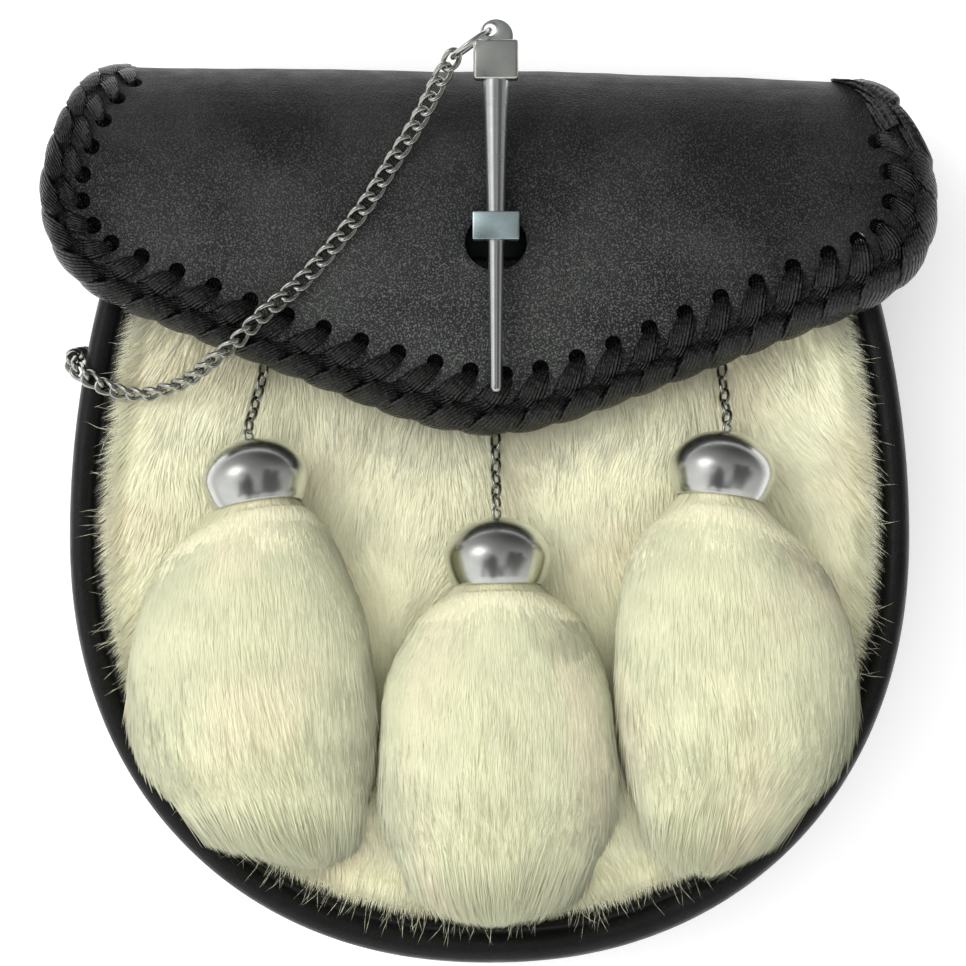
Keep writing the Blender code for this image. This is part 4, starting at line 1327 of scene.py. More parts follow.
def stud(centre: Vector, axis: Vector, radius: float = 3.0, depth: float = STUD_DEPTH) -> BMesh:
    """Turn a low domed stud."""
    half = depth / 2
    profile = ((0.0, -half), (radius - 0.2, -half), (radius, 0.2 - half), (radius, half - 0.35),
            (radius - 0.3, half - 0.08), (radius - 0.8, half), (0.0, half))
    shape = turned(profile, 28)
    side = Vector((0, 1, 0)) if abs(axis.y) < 0.9 else Vector((1, 0, 0))
    shape.transform(frame_at(centre, side.cross(axis), axis))
    return shape


@dataclass
class Clasp:
    """The staple, the pin through it, and the ring in the pin's ear."""

    axis_x: float = 1.4
    axis_z: float = 58.7
    head: tuple[float, float, float] = (10.1, 9.0, 6.4)
    head_top_y: float = 101.1
    shaft: tuple = (
        # radius, y
        (0.0, 93.0), (3.0, 93.0), (3.0, 91.0), (2.95, 90.0), (2.1, 62.4), (1.8, 55.6),
        (1.37, 23.6), (1.33, 22.9), (1.2, 22.4), (0.95, 22.1), (0.5, 22.0), (0.0, 21.98),
    )
    ear_radius: float = 3.9
    ear_thickness: float = 2.0
    ear_hole: float = 1.4
    block_size: tuple[float, float, float] = (10.6, 6.4, 6.6)
    block_y: float = 59.3
    bore: float = 2.5
    stem: tuple[float, float] = (6.0, 4.4)
    base: tuple[float, float, float] = (20.0, 13.0, 1.8)
    foot_z: float = 39.3
    ring_radius: float = 5.2
    ring_wire: float = 0.6
    ring_bearing: float = math.radians(216.0)

    @property
    def hole_centre(self) -> Vector:
        """Return the middle of the ear's hole."""
        return Vector((self.axis_x - 1.3, self.head_top_y + 2.3, self.axis_z))

    @property
    def ring_away(self) -> Vector:
        """Return the way from the ear's hole to the ring's middle."""
        return Vector((math.cos(self.ring_bearing), math.sin(self.ring_bearing), 0))

    @property
    def ring_end(self) -> Vector:
        """Return the ring's far side, where the chain hangs."""
        return self.hole_centre + self.ring_away * 2 * self.ring_radius

    def build(self, finishes: FinishSet) -> list[Object]:
        """Make the staple, the pin and the ring."""
        return [self.staple(finishes), self.pin(finishes), self.ring(finishes)]

    def staple(self, finishes: FinishSet) -> Object:
        """Make the block with its bore, on a stem that stands on a base plate."""
        wide, deep, high = self.block_size
        middle = Vector((self.axis_x, self.block_y, self.axis_z))
        shape = bmesh.new()
        corners = ((-wide / 2, -high / 2), (wide / 2, -high / 2), (wide / 2, high / 2),
                (-wide / 2, high / 2))
        add_ring(shape, [(x, -deep / 2, z) for x, z in corners])
        round_hole = circle_points(self.bore, 32)
        add_ring(shape, [(x, -deep / 2, z) for x, z, _ in round_hole])
        bmesh.ops.triangle_fill(shape, use_beauty=True, edges=shape.edges[:])
        thicken(shape, shape.faces[:], (0, deep, 0))
        round_edges(shape, crisp_edges(shape), 0.45, 2)
        bmesh.ops.translate(shape, vec=middle, verts=shape.verts)
        stem_low = self.foot_z + self.base[2] - 0.3
        stem_high = self.axis_z - high / 2 + 0.3
        stem = block((*self.stem, stem_high - stem_low),
                Vector((middle.x, middle.y, (stem_low + stem_high) / 2)), 0.5)
        base = block(self.base, Vector((middle.x, middle.y, self.foot_z + self.base[2] / 2)), 0.5)
        # The stem and the base take the dark steel, a painted shade that keeps the slot dark.
        for part in (stem, base):
            for face in part.faces:
                face.material_index = 1
        piece = fitted("clasp_staple", joined((shape, stem, base)), finishes.steel, "chrome", 30.0)
        piece.data.materials.append(finishes.black)
        return piece

    def pin(self, finishes: FinishSet) -> Object:
        """Make the pin: a tapered shaft, a square head, and an ear with a hole."""
        shaft = turned(self.shaft, 48)
        upright = (Matrix.Translation((self.axis_x, 0, self.axis_z))
                @ Matrix.Rotation(-math.pi / 2, 4, "X"))
        shaft.transform(upright)
        head = block(self.head, Vector((self.axis_x, self.head_top_y - self.head[1] / 2,
                self.axis_z)), 0.7)
        for face in head.faces:
            face.material_index = 1
        ear = bmesh.new()
        centre = Vector((self.axis_x, self.head_top_y + 0.8, self.axis_z))
        for middle, radius, count in ((centre, self.ear_radius, 56),
                (self.hole_centre, self.ear_hole, 28)):
            add_ring(ear, [middle + Vector(point) for point in circle_points(radius, count)])
        bmesh.ops.triangle_fill(ear, use_beauty=True, edges=ear.edges[:])
        bmesh.ops.translate(ear, vec=(0, 0, -self.ear_thickness / 2), verts=ear.verts)
        thicken(ear, ear.faces[:], (0, 0, self.ear_thickness))
        round_edges(ear, crisp_edges(ear), 0.3, 2)
        piece = fitted("clasp_pin", joined((shaft, head, ear)), finishes.shaft, "chrome", 30.0)
        piece.data.materials.append(finishes.satin)
        return piece

    def ring(self, finishes: FinishSet) -> Object:
        """Make the jump ring, which stands on its edge."""
        shape = wire_loop(circle_points(self.ring_radius, 64), self.ring_wire, 14)
        away = self.ring_away
        shape.transform(frame_at(self.hole_centre + away * self.ring_radius, away,
                away.cross(UP)))
        return fitted("pin_ring", shape, finishes.bright, "chrome", 60.0)


@dataclass
class PinChain:
    """The chain that keeps the pin, and its anchor on the side wall."""

    clasp: Clasp
    body: BodyForm
    pitch: float = 3.75
    bearing: float = math.radians(240.0)
    seat: float = 0.7
    route: tuple = (
        # x, y, z, and the side of the chain that faces out
        (-15.9, 83.3, 57.5, 0.0, 0, 1), (-21.8, 73.9, 56.7, 0.0, 0, 1),
        (-27.8, 64.4, 56.5, 0.0, 0, 1), (-34.8, 55.5, 56.1, 0.0, 0, 1),
        (-42.6, 46.8, 55.9, 0.1, -0.1, 1), (-51.2, 39.2, 57.9, 0.2, -0.5, 1),
        (-56.9, 33.5, 58.5, 0.4, -0.8, 0.8), (-62.8, 28.8, 57.4, 0.4, -1, 0.6),
        (-68.2, 24.9, 53.6, 0.3, -1, 0.55), (-73.4, 22.8, 50.8, 0.1, -1, 0.5),
        (-79.0, 21.6, 49.8, -0.1, -1, 0.6), (-86.0, 22.8, 48.6, -0.3, -0.6, 1),
        (-92.2, 26.0, 46.9, -0.5, -0.2, 1), (-95.4, 28.6, 43.0, -1, 0, 0.6),
        (-95.9, 30.2, 37.5, -1, 0, 0.1), (-94.0, 31.0, 31.0, -1, 0, 0),
        (-93.6, 31.0, 27.5, -1, 0, 0),
    )

    def build(self, finishes: FinishSet) -> list[Object]:
        """Make the chain and its anchor."""
        along = Vector((math.cos(self.bearing), math.sin(self.bearing), 0))
        start = self.clasp.ring_end + along * self.seat
        rows = [(*start, 0, 0, 1), (*(start + along * self.pitch), 0, 0, 1), *self.route]
        frames = link_frames(rows, self.pitch)
        chain = fitted("pin_chain", copies(Link().shape(), frames), finishes.wire, "chrome", 60.0)
        onward = frames[-1].to_3x3() @ Vector((1, 0, 0))
        centre = frames[-1].translation + onward * (1.0 + EYE_RADIUS)
        taper = 2 * self.body.taper * (centre.y - self.body.centre_y)
        out = Vector((-1, taper, 0)).normalized()
        wall_x = -float(np.interp(centre.y, *self.side(1.0))) - GAP
        foot = Vector((wall_x, centre.y, centre.z - 1.0)) + out * (STUD_DEPTH / 2)
        shape = joined((stud(foot, out), wire_eye(centre, out, onward)))
        return [chain, fitted("chain_anchor", shape, finishes.wire, "chrome", 40.0)]

    def side(self, inset_by: float) -> tuple[Rows, Rows]:
        """Return heights and half widths of the pouch's side above its middle."""
        rows = self.body.outline(inset_by, 70.0, 200)
        rows = rows[(rows[:, 0] > 0) & (rows[:, 1] > self.body.centre_y)]
        return rows[:, 1], rows[:, 0]


# ---- fur


@dataclass
class Coat:
    """A coat of hairs: each a thin closed sliver, bent at its widest place."""

    # the tassels' tone, darker than the front's: painted shade against the light the tassels catch
    tip: tuple[float, float, float] = (0.735, 0.75, 0.535)
    root: tuple[float, float, float] = (0.695, 0.685, 0.445)
    rosy: tuple[float, float, float] = (0.88, 0.79, 0.58)
    shape: tuple = ((0, 1, 2), (1, 3, 2), (0, 2, 3), (0, 3, 1))
    rise: float = 0.06
    round: float = 0.26       # how far the sides of a hair turn away from the coat
    scatter: float = 0.07

    def piece(self, name: str, roots: Rows, bends: Rows, tips: Rows,
            ups: Rows, widths: Rows, shades: Rows, flush: Rows,
            finishes: FinishSet) -> Object:
        """Make a piece of hairs.

        Args:
            name: its name.
            roots: where each hair starts.
            bends: where it is widest.
            tips: where it ends.
            ups: the way out of the fur at each hair.
            widths: how wide each hair is.
            shades: how light each hair is, 1 as it is; it carries the fur's painted shade and
                painted light.
            flush: how rosy each hair is, 0 to 1.
            finishes: the materials.

        Returns:
            The piece, in metres.
        """
        count, points = len(roots), len(self.shape)
        along = tips - roots
        share = np.sum((bends - roots) * along, axis=1)
        share = share / np.maximum(np.sum(along * along, axis=1), 1e-6)
        share = np.clip(share, 0.2, 0.7)
        height = np.sum((bends - roots - along * share[:, None]) * ups, axis=1)
        bends = roots + along * share[:, None] + ups * np.maximum(self.rise, height)[:, None]
        side = np.cross(along, ups)
        side /= np.maximum(np.linalg.norm(side, axis=1)[:, None], 1e-6)
        half = side * widths[:, None] / 2
        verts = np.stack((roots, bends + half, bends - half, tips), axis=1)
        verts = (verts.reshape(-1, 3) + np.array(MIDDLE)) * MM
        faces = (np.arange(count)[:, None, None] * points + np.array(self.shape)[None])
        mesh = bpy.data.meshes.new(name)
        mesh.vertices.add(len(verts))
        mesh.vertices.foreach_set("co", verts.astype(np.float32).ravel())
        mesh.loops.add(faces.size)
        mesh.loops.foreach_set("vertex_index", faces.astype(np.int32).ravel())
        mesh.polygons.add(faces.size // 3)
        mesh.polygons.foreach_set("loop_start", np.arange(0, faces.size, 3, dtype=np.int32))
        mesh.update(calc_edges=True)
        share = np.array((0.0, 0.6, 0.6, 1.0))[None, :, None]
        colour = np.array(self.root) * (1 - share) + np.array(self.tip) * share
        colour = colour * (1 - flush[:, None, None]) + np.array(self.rosy) * flush[:, None, None]
        colour = unit(colour * shades[:, None, None])
        tint = np.concatenate((colour, np.ones((count, points, 1))), axis=2)
        layer = mesh.attributes.new("tint", "FLOAT_COLOR", "POINT")
        layer.data.foreach_set("color", tint.astype(np.float32).ravel())
        mesh.shade_smooth()
        mesh.normals_split_custom_set_from_vertices(self.normals(ups, side).tolist())
        mesh.materials.append(finishes.hair)
        return placed(name, mesh)

    def normals(self, ups: Rows, side: Rows) -> Rows:
        """Return each vertex's normal: out of the coat, and a little round the hair."""
        tilt = np.random.default_rng(3).normal(0.0, self.scatter, ups.shape)
        rows = [ups + side * turn + tilt for turn in (0.0, self.round, -self.round, 0.0)]
        normals = np.stack(rows, axis=1).reshape(-1, 3)
        return normals / np.linalg.norm(normals, axis=1)[:, None]


def clumped(points: Rows, spacing: float, seed: int) -> tuple[Rows, Rows]:
    """Gather places into clumps.

    Args:
        points: flat places.
        spacing: how far apart the clumps are.
        seed: of their scatter.

    Returns:
        The middle of each place's clump, and the clump's number.
    """
    dice = np.random.default_rng(seed)
    low, high = points.min(axis=0) - spacing, points.max(axis=0) + spacing
    columns = np.arange(low[0], high[0], spacing)
    rows = np.arange(low[1], high[1], spacing)
    grid = np.stack(np.meshgrid(columns, rows), axis=-1).reshape(-1, 2)
    grid = grid + dice.uniform(-0.45, 0.45, grid.shape) * spacing
    finder = finder_of((x, y, 0.0) for x, y in grid)
    nearest = np.array([finder.find((x, y, 0.0))[1] for x, y in points])
    return grid[nearest], nearest


def tones(seed: int, clump: Rows, strand: Rows) -> list[Rows]:
    """Return two chance values for each hair's lift and two for its shade, from -1 to 1."""
    tone = np.random.default_rng(seed).uniform(-1.0, 1.0, TONES)
    return [tone[key % TONES] for key in (clump, strand, clump * 7, strand * 3)]


@dataclass
class FurFront:
    """The fur of the front: a felted pad, and hairs brushed down over it."""

    body: BodyForm
    coat: Coat
    end_y: float = 50.5
    foot_z: float = 39.3
    edge_z: float = 43.0
    pressed_z: float = 44.5
    open_z: float = 46.6
    pressed_y: float = 10.0
    rounding: float = 6.0
    rim_crest: float = 6.4         # how high over its foot the hair has to be to pass the rim
    layers: tuple = (
        # name, hairs, least and greatest length, width, height over the pad, share drawn together
        ("fur_front_undercoat", 35000, (8.0, 13.0), (0.31, 0.48), 0.25, 0.30),
        ("fur_front_hair", 44000, (11.0, 19.0), (0.17, 0.30), 0.60, 0.50),
    )
    wisps: int = 1500
    # the flap's lower edge, below which the hairs get a painted shadow
    flap_edge: tuple = ((-85.0, -43.0, -15.0, 0.0, 15.0, 43.0, 85.0),        # x, and y there
            (46.0, 29.5, 17.0, 14.0, 17.0, 29.5, 46.0))

    def edge(self, count: int = 420) -> Rows:
        """Return the fur's outline."""
        outer = self.body.outline(0.0, self.end_y, count)
        return inset(outer, self.body.rim_width(outer[:, 1]) + 2 * GAP)

    def height(self, places: Rows, outline: Rows) -> tuple[Rows, Rows]:
        """Return the pad's height at places, and how far in from its edge they are."""
        distance = np.full(len(places), 1e9)
        for start in range(0, len(outline), 60):
            part = outline[start:start + 60]
            gaps = np.linalg.norm(places[:, None, :] - part[None], axis=2).min(axis=1)
            distance = np.minimum(distance, gaps)
        ease = unit((self.pressed_y + 5 - places[:, 1]) / 16.0)
        top = self.pressed_z + (self.open_z - self.pressed_z) * ease * ease * (3 - 2 * ease)
        share = 1 - unit(distance / self.rounding)
        return top - (top - self.edge_z) * share ** 2, distance

    def build(self, finishes: FinishSet) -> list[Object]:
        """Make the pad, its two layers of hair, and the wisps that stray over the rim."""
        pieces = [self.pad(finishes)]
        for number, layer in enumerate(self.layers):
            pieces.append(self.hair(layer, number, finishes))
        pieces.append(self.stray(finishes))
        return [stand_for(piece, "cream_fur", "fur_front") for piece in pieces]

    def pad(self, finishes: FinishSet) -> Object:
        """Make the felted pad: its outline, rounded in steps, and swollen where it is free."""
        shape = bmesh.new()
        outer = self.body.outline(0.0, self.end_y, 200)
        widths = self.body.rim_width(outer[:, 1]) + 2 * GAP
        ring = add_ring(shape, [(x, y, self.foot_z) for x, y in inset(outer, widths)])
        first = ring
        for depth in (0.0, 0.8, 2.0, 3.8, 6.2):
            row = inset(outer, widths + depth)
            row[:, 1] = np.minimum(row[:, 1], self.end_y - depth * 0.6)
            ring = pull_ring(shape, ring, [(x, y, self.edge_z) for x, y in row])
        for end in (first, ring):
            bmesh.ops.contextual_create(shape, geom=ring_edges(shape, end))
        slice_up(shape, np.arange(-96.0, 50.0, 6.0), np.arange(-84.0, 85.0, 8.0), 0.01)
        upper = [vert for vert in shape.verts if vert.co.z > self.edge_z - 0.1]
        heights, _ = self.height(np.array([vert.co.xy for vert in upper]), self.edge(600))
        for vert, z in zip(upper, heights):
            vert.co.z = z
        bmesh.ops.triangulate(shape, faces=shape.faces[:])
        bmesh.ops.recalc_face_normals(shape, faces=shape.faces)
        return finished("fur_front", shape, finishes.underfur, 70.0)

    def hair(self, layer: tuple, number: int, finishes: FinishSet) -> Object:
        """Grow one layer of hairs, brushed down and out to the sides.

        Args:
            layer: its row of layers.
            number: which layer it is.
            finishes: the materials.

        Returns:
            The piece.
        """
        name, wanted, lengths, widths, over, drawn = layer
        dice = np.random.default_rng(5 + number)
        outline = self.edge(600)
        low, high = outline.min(axis=0), outline.max(axis=0)
        places = dice.uniform(low, high, (wanted * 3, 2))
        places = places[self.inside(places, outline)]
        keep = self.density(places) > dice.random(len(places))
        places = places[keep][:wanted]
        count = len(places)
        heights, edge = self.height(places, outline)
        flow = self.flow(places, edge, dice)
        length = dice.uniform(*lengths, count)
        middle, clump = clumped(places, 5.0, 21)
        fine, strand = clumped(places, 1.5, 22 + number)
        tips = places + flow * length[:, None]
        drawn = drawn * unit(edge / 9.0 - 0.1)[:, None]
        tips += (middle - places) * drawn * 0.5 + (fine - places) * drawn
        within = self.inside(tips, outline)
        _, out = self.height(tips, outline)
        stray = dice.random(count) ** 2 * 2.4
        cut = np.where(within, 0.0, np.maximum(out - stray, 0.0))
        wide = dice.uniform(*widths, count) * np.where(within, 1.0, 0.40)
        tips = tips - flow * cut[:, None]
        bends = places + (tips - places) * 0.42 + (fine - places) * drawn * 0.3
        bend_z, _ = self.height(bends, outline)
        tip_z, _ = self.height(tips, outline)
        tip_z = np.where(self.inside(tips, outline), tip_z, self.foot_z + self.rim_crest)
        high, fluffy, pale, streak = tones(31, clump, strand)
        lift = over * (1.0 + 0.35 * high + 0.25 * fluffy)
        bend_z = bend_z + lift + dice.uniform(0.0, 0.5, count)
        tip_z = tip_z + 0.4 * lift + dice.uniform(-0.4, 0.6, count)
        shades = 1.0 + 0.04 * pale + 0.05 * streak
        shades += dice.uniform(-0.06, 0.04, count) - 0.05 * (number == 0)
        # Painted light in the valleys between the tassels: the other hairs are darkened, these keep
        # their tone.
        between = np.exp(-((np.abs(places[:, 0] - 1.0) - 27.0) / 9.0) ** 2)
        shades *= 0.89 + 0.11 * between * (places[:, 1] < -8.0)
        # Painted shade near the fur's outline, by the rim.
        shades -= 0.09 * unit(1.0 - edge / 7.0)
        # Painted shadow of the flap on the hairs just below its edge.
        below = np.maximum(np.interp(places[:, 0], *self.flap_edge) - places[:, 1], 0.0)
        shades *= 1.0 - 0.30 * np.exp(-(below / 6.0) ** 2)
        flush = np.clip(0.6 * ripple(places, 26.0, 8) - 0.15, 0.0, 0.45)
        flush = flush + (dice.random(count) > 0.985) * 0.4
        ups = np.tile(UP, (count, 1))
        roots = np.column_stack((places, heights - 0.6))
        return self.coat.piece(name, roots, np.column_stack((bends, bend_z)),
                np.column_stack((tips, tip_z)), ups,
                wide, shades, flush, finishes)

    def stray(self, finishes: FinishSet) -> Object:
        """Grow the thin wisps that lie over the rim."""
        dice = np.random.default_rng(17)
        count = self.wisps
        outer = self.body.outline(0.0, self.end_y - 14.0, 2000)
        picks = (dice.random(count) * 1999).astype(int)
        widths = self.body.rim_width(outer[:, 1])
        depth = dice.uniform(0.5, 3.5, count)
        places = inset(outer, widths + 2 * GAP)[picks] + left_normals(outer)[picks] * depth[:, None]
        away = -left_normals(outer)[picks]
        sag = dice.uniform(-0.2, 1.4, count)
        way = away + np.stack((np.zeros(count), -sag), axis=1)
        way /= np.linalg.norm(way, axis=1)[:, None]
        length = depth + dice.uniform(0.12, 1.0, count) ** 3.4 * 8.0
        curl = dice.normal(0.0, 0.22, count)[:, None] * np.stack((-way[:, 1], way[:, 0]), axis=1)
        foot, _ = self.height(places, self.edge(600))
        crest = self.foot_z + self.rim_crest + dice.uniform(0.0, 1.2, count)

        def along(share: float) -> Rows:
            """Return each wisp's place at a share of its length."""
            flat = places + (way + curl * share) * (length * share)[:, None]
            return np.column_stack((flat, foot + (crest - foot) * min(share / 0.25, 1.0)))

        spans = ((0.0, 0.25, 0.45), (0.30, 0.50, 0.75), (0.58, 0.75, 1.0))
        roots, bends, tips = (np.vstack([along(span[number]) for span in spans])
                for number in range(3))
        wide = np.concatenate([dice.uniform(0.03, 0.06, count)] * len(spans))
        ups = np.tile(UP, (len(roots), 1))
        return self.coat.piece("fur_front_wisps", roots, bends, tips, ups, wide,
                np.full(len(roots), 1.04), np.zeros(len(roots)), finishes)

    def density(self, places: Rows) -> Rows:
        """Return how much of the hair to keep: little where the flap hides it for good."""
        hidden = unit((places[:, 1] - 22.0) / 14.0)
        hidden *= (np.abs(places[:, 0]) < 72.0)
        return 1.0 - 0.92 * hidden

    def flow(self, places: Rows, edge: Rows, dice: np.random.Generator) -> Rows:
        """Return the way that each hair lies.

        Args:
            places: where the hairs grow.
            edge: how far in from the fur's outline each hair is.
            dice: for each hair's own lean.

        Returns:
            Unit vectors across and up the pouch.
        """
        lean = places[:, 0] / 80.0 * 0.32
        lean = lean + 0.34 * ripple(places, 30.0, 6) + 0.14 * ripple(places, 9.0, 7)
        lean = lean + dice.normal(0.0, 0.09, len(places))
        way = np.stack((np.sin(lean), -np.cos(lean)), axis=1)
        away = places - np.array((0.0, self.body.centre_y + 10.0))
        away /= np.maximum(np.linalg.norm(away, axis=1)[:, None], 1.0)
        share = unit(1 - edge / 14.0)[:, None] * 0.6
        mixed = way * (1 - share) + away * share
        return mixed / np.linalg.norm(mixed, axis=1)[:, None]

    @staticmethod
    def inside(places: Rows, outline: Rows) -> Rows:
        """Say which places lie inside a closed outline."""
        result = np.zeros(len(places), dtype=bool)
        for (x0, y0), (x1, y1) in zip(outline, np.roll(outline, -1, axis=0)):
            crosses = (y0 > places[:, 1]) != (y1 > places[:, 1])
            if y1 != y0:
                at = x0 + (places[:, 1] - y0) * (x1 - x0) / (y1 - y0)
                result ^= crosses & (places[:, 0] < at)
        return result


# ---- the tassels


class Side(Enum):
    """Which tassel it is, as the viewer sees the pouch."""

    LEFT = "left"
    CENTRE = "centre"
    RIGHT = "right"


class Skin:
    """The outside of a tassel, found by a share of a turn and a length down it."""

    def __init__(self, sections: Rows) -> None:
        """Run a dense surface through the tassel's sections."""
        self.sides = sections.shape[1]
        rows = smooth_curve(sections.reshape(len(sections), -1), 12)
        self.grid = rows.reshape(-1, self.sides, 3)
        self.middles = self.grid.mean(axis=1)
        self.run = arc_lengths(self.middles)
        self.length = self.run[-1]

        ahead = np.gradient(self.grid, axis=0)
        across = np.roll(self.grid, -1, axis=1) - np.roll(self.grid, 1, axis=1)
        facing = np.cross(across, ahead)
        outward = self.grid - self.middles[:, None, :]
        facing *= np.sign(np.sum(facing * outward))
        length = np.maximum(np.linalg.norm(facing, axis=2), 1e-9)
        self.facing = facing / length[:, :, None]

    def sample(self, field: Rows, around: Rows, down: Rows) -> Rows:
        """Read a grid of vectors at shares of a turn and lengths down the tassel."""
        level = np.interp(np.clip(down, 0.0, self.length), self.run, np.arange(len(self.run)))
        lower = np.clip(level.astype(int), 0, len(self.run) - 2)
        part = (level - lower)[:, None]
        column = (around % 1.0) * self.sides
        first = column.astype(int) % self.sides
        second = (first + 1) % self.sides
        share = (column - column.astype(int))[:, None]
        above = field[lower, first] * (1 - share) + field[lower, second] * share
        below = field[lower + 1, first] * (1 - share) + field[lower + 1, second] * share
        return above * (1 - part) + below * part

    def at(self, around: Rows, down: Rows) -> Rows:
        """Return places on the surface, or just past its end.

        Args:
            around: shares of a turn, from the right, over the top.
            down: lengths down the tassel.

        Returns:
            Rows of x, y, z.
        """
        places = self.sample(self.grid, around, down)
        places[:, 1] -= np.maximum(down - self.length, 0.0) * 0.03
        return places

    def out(self, around: Rows, down: Rows) -> Rows:
        """Return the ways out of the surface."""
        ways = self.sample(self.facing, around, down)
        return ways / np.maximum(np.linalg.norm(ways, axis=1)[:, None], 1e-6)


@dataclass
class Tassel:
    """A tassel: its anchor and chain, its bell, and the fur that hangs from it."""

    side: Side
    coat: Coat
    eye: tuple[float, float]
    crown_place: tuple[float, float]
    turn: float
    pitch: float
    fur: tuple
    radius: float = 12.0
    crown_depth: float = 9.2
    skirt: float = 6.5
    mouth_radius: float = 10.0
    wall: float = 0.8
    hairs: int = 39000
    pad_top: float = 47.3
    anchor_z: float = 44.8
    anchor_back: float = 1.4       # how far the stud is behind its eye
    girth: float = 95.0       # how far round the tassel is, for spacing its hairs

    @property
    def direction(self) -> Vector:
        """Return the way that the bell's mouth faces."""
        return Vector((math.sin(self.turn) * math.cos(self.pitch),
                -math.cos(self.turn) * math.cos(self.pitch), math.sin(self.pitch)))

    @property
    def crown(self) -> Vector:
        """Return the top of the bell."""
        middle = self.pad_top + self.radius
        return Vector((*self.crown_place, middle - self.crown_depth * math.sin(self.pitch)))

    def build(self, finishes: FinishSet) -> list[Object]:
        """Make the tassel's pieces."""
        name = self.side.value
        eye = Vector((*self.eye, self.anchor_z + STUD_DEPTH + EYE_RISE))
        centre = Vector((eye.x, eye.y + self.anchor_back, self.anchor_z + STUD_DEPTH / 2))
        shape = joined((stud(centre, UP), wire_eye(eye, UP, Vector((0, -1, 0)))))
        anchor = fitted("tassel_anchor_" + name, shape, finishes.wire, "chrome", 40.0)
        return [anchor, self.chain(eye, finishes), self.bell(finishes), *self.brush(finishes)]

    def chain(self, eye: Vector, finishes: FinishSet) -> Object:
        """Make the short chain, whose links stand across one another in turn."""
        start = eye - Vector((0, EYE_RADIUS, 0))
        end = self.crown - self.direction * (EYE_RADIUS * 2 - EYE_SUNK)
        low = start + Vector((0, -5.5, 0.9))
        middle = low.lerp(end, 0.5) - Vector((0, 0, 1.2))
        curve = smooth_curve([start, low, middle, end], 24)
        length = arc_lengths(curve)[-1]
        link = Link(half_length=2.15, half_width=1.15, wire=0.42, twist=0.0, steps=26, sides=8)
        reach = 2 * (link.half_length - link.wire)
        count = max(int(round(length / reach)), 1)
        pitch = length / count
        link.half_length = pitch / 2 + link.wire
        run = arc_lengths(curve)
        frames = []
        for number in range(count):
            ends = [Vector([np.interp(at * pitch, run, column) for column in curve.T])
                    for at in (number, number + 1)]
            roll = math.radians(40.0 if number % 2 else -50.0)
            facing = Matrix.Rotation(roll, 3, (ends[1] - ends[0]).normalized()) @ UP
            frames.append(frame_at((ends[0] + ends[1]) / 2, ends[1] - ends[0], facing))
        name = "tassel_chain_" + self.side.value
        return fitted(name, copies(link.shape(), frames), finishes.wire, "chrome", 60.0)

    def skirt_at(self, share: float, wall: float) -> tuple[float, float]:
        """Return the radius and depth at a share of the bell's skirt, in from its outside."""
        return (self.radius - wall - (self.radius - self.mouth_radius) * share ** 1.5,
                self.crown_depth + self.skirt * share)

    def profile(self) -> list[tuple[float, float]]:
        """Return the bell's profile: its outside from the crown, its lip, and its inside."""
        outer = [(self.radius * math.sin(angle), self.crown_depth * (1 - math.cos(angle)))
                for angle in np.linspace(0.0, math.pi / 2, 26)]
        outer += [self.skirt_at(share, 0.0) for share in np.linspace(0.0, 1.0, 9)[1:-1]]
        lip = self.crown_depth + self.skirt
        edge = [(self.mouth_radius + step, lip - rise) for step, rise in (
            (0.02, 0.35), (-0.1, 0.08), (-0.35, 0.0), (-0.65, 0.08), (-0.8, 0.4))]
        inner = [self.skirt_at(share, self.wall) for share in np.linspace(0.9, 0.0, 6)]
        inner += [((self.radius - self.wall) * math.sin(angle),
                self.crown_depth - (self.crown_depth - self.wall) * math.cos(angle))
                for angle in np.linspace(math.pi / 2, 0.0, 12)[1:]]
        return outer + edge + inner

    def bell(self, finishes: FinishSet) -> Object:
        """Turn the bell cap, with the eye in its crown."""
        shell = turned([(radius, -depth) for radius, depth in self.profile()], 96)
        shell.transform(frame_at(self.crown, UP.cross(self.direction), -self.direction))
        eye = wire_eye(self.crown - self.direction * (EYE_RADIUS - EYE_SUNK), UP, self.direction)
        name = "tassel_bell_" + self.side.value
        return fitted(name, joined((shell, eye)), finishes.bright, "chrome", 50.0)

    def sections(self, sides: int, ends: tuple = ((1.8, 0.84, 0.66), (3.2, 0.55, 0.30))) -> Rows:
        """Return the fur's sections, from inside the bell to past the locks' ends.

        Args:
            sides: how many points each section has.
            ends: how far past the last row each closing section is, and its shares of the
                row's width and depth.

        Returns:
            An array of sections, points, and x, y, z.
        """
        across = UP.cross(self.direction).normalized()
        above = self.direction.cross(across)
        turn = np.linspace(0, 2 * math.pi, sides, endpoint=False)
        found = []
        mouth = self.crown_depth + self.skirt
        neck = self.mouth_radius - self.wall - 2 * GAP
        for depth, radius in ((mouth - 9.0, neck - 1.5), (mouth + 2 * GAP, neck)):
            centre = self.crown + self.direction * depth
            found.append(np.array([centre + across * radius * math.cos(angle)
                    + above * radius * math.sin(angle) for angle in turn]))
        along_mouth = -self.direction.x / self.direction.y
        up_mouth = -self.direction.z / self.direction.y
        total = len(self.fur)
        for number, (y, left, right, under, top) in enumerate(self.fur):
            x = (left + right) / 2 + (right - left) / 2 * np.cos(turn)
            z = (under + top) / 2 + (top - under) / 2 * np.sin(turn)
            tilt = (along_mouth * (x - (left + right) / 2)
                    + up_mouth * (z - (under + top) / 2)) * (1 - number / total)
            found.append(np.stack((x, y + tilt, z), axis=1))
        y, left, right, under, top = self.fur[-1]
        for fall, share, depth in ends:
            x = (left + right) / 2 + (right - left) / 2 * share * np.cos(turn)
            z = under + 0.4 + (top - under) / 2 * depth * (1 + np.sin(turn))
            found.append(np.stack((x, np.full_like(x, y - fall), z), axis=1))
        return np.array(found)

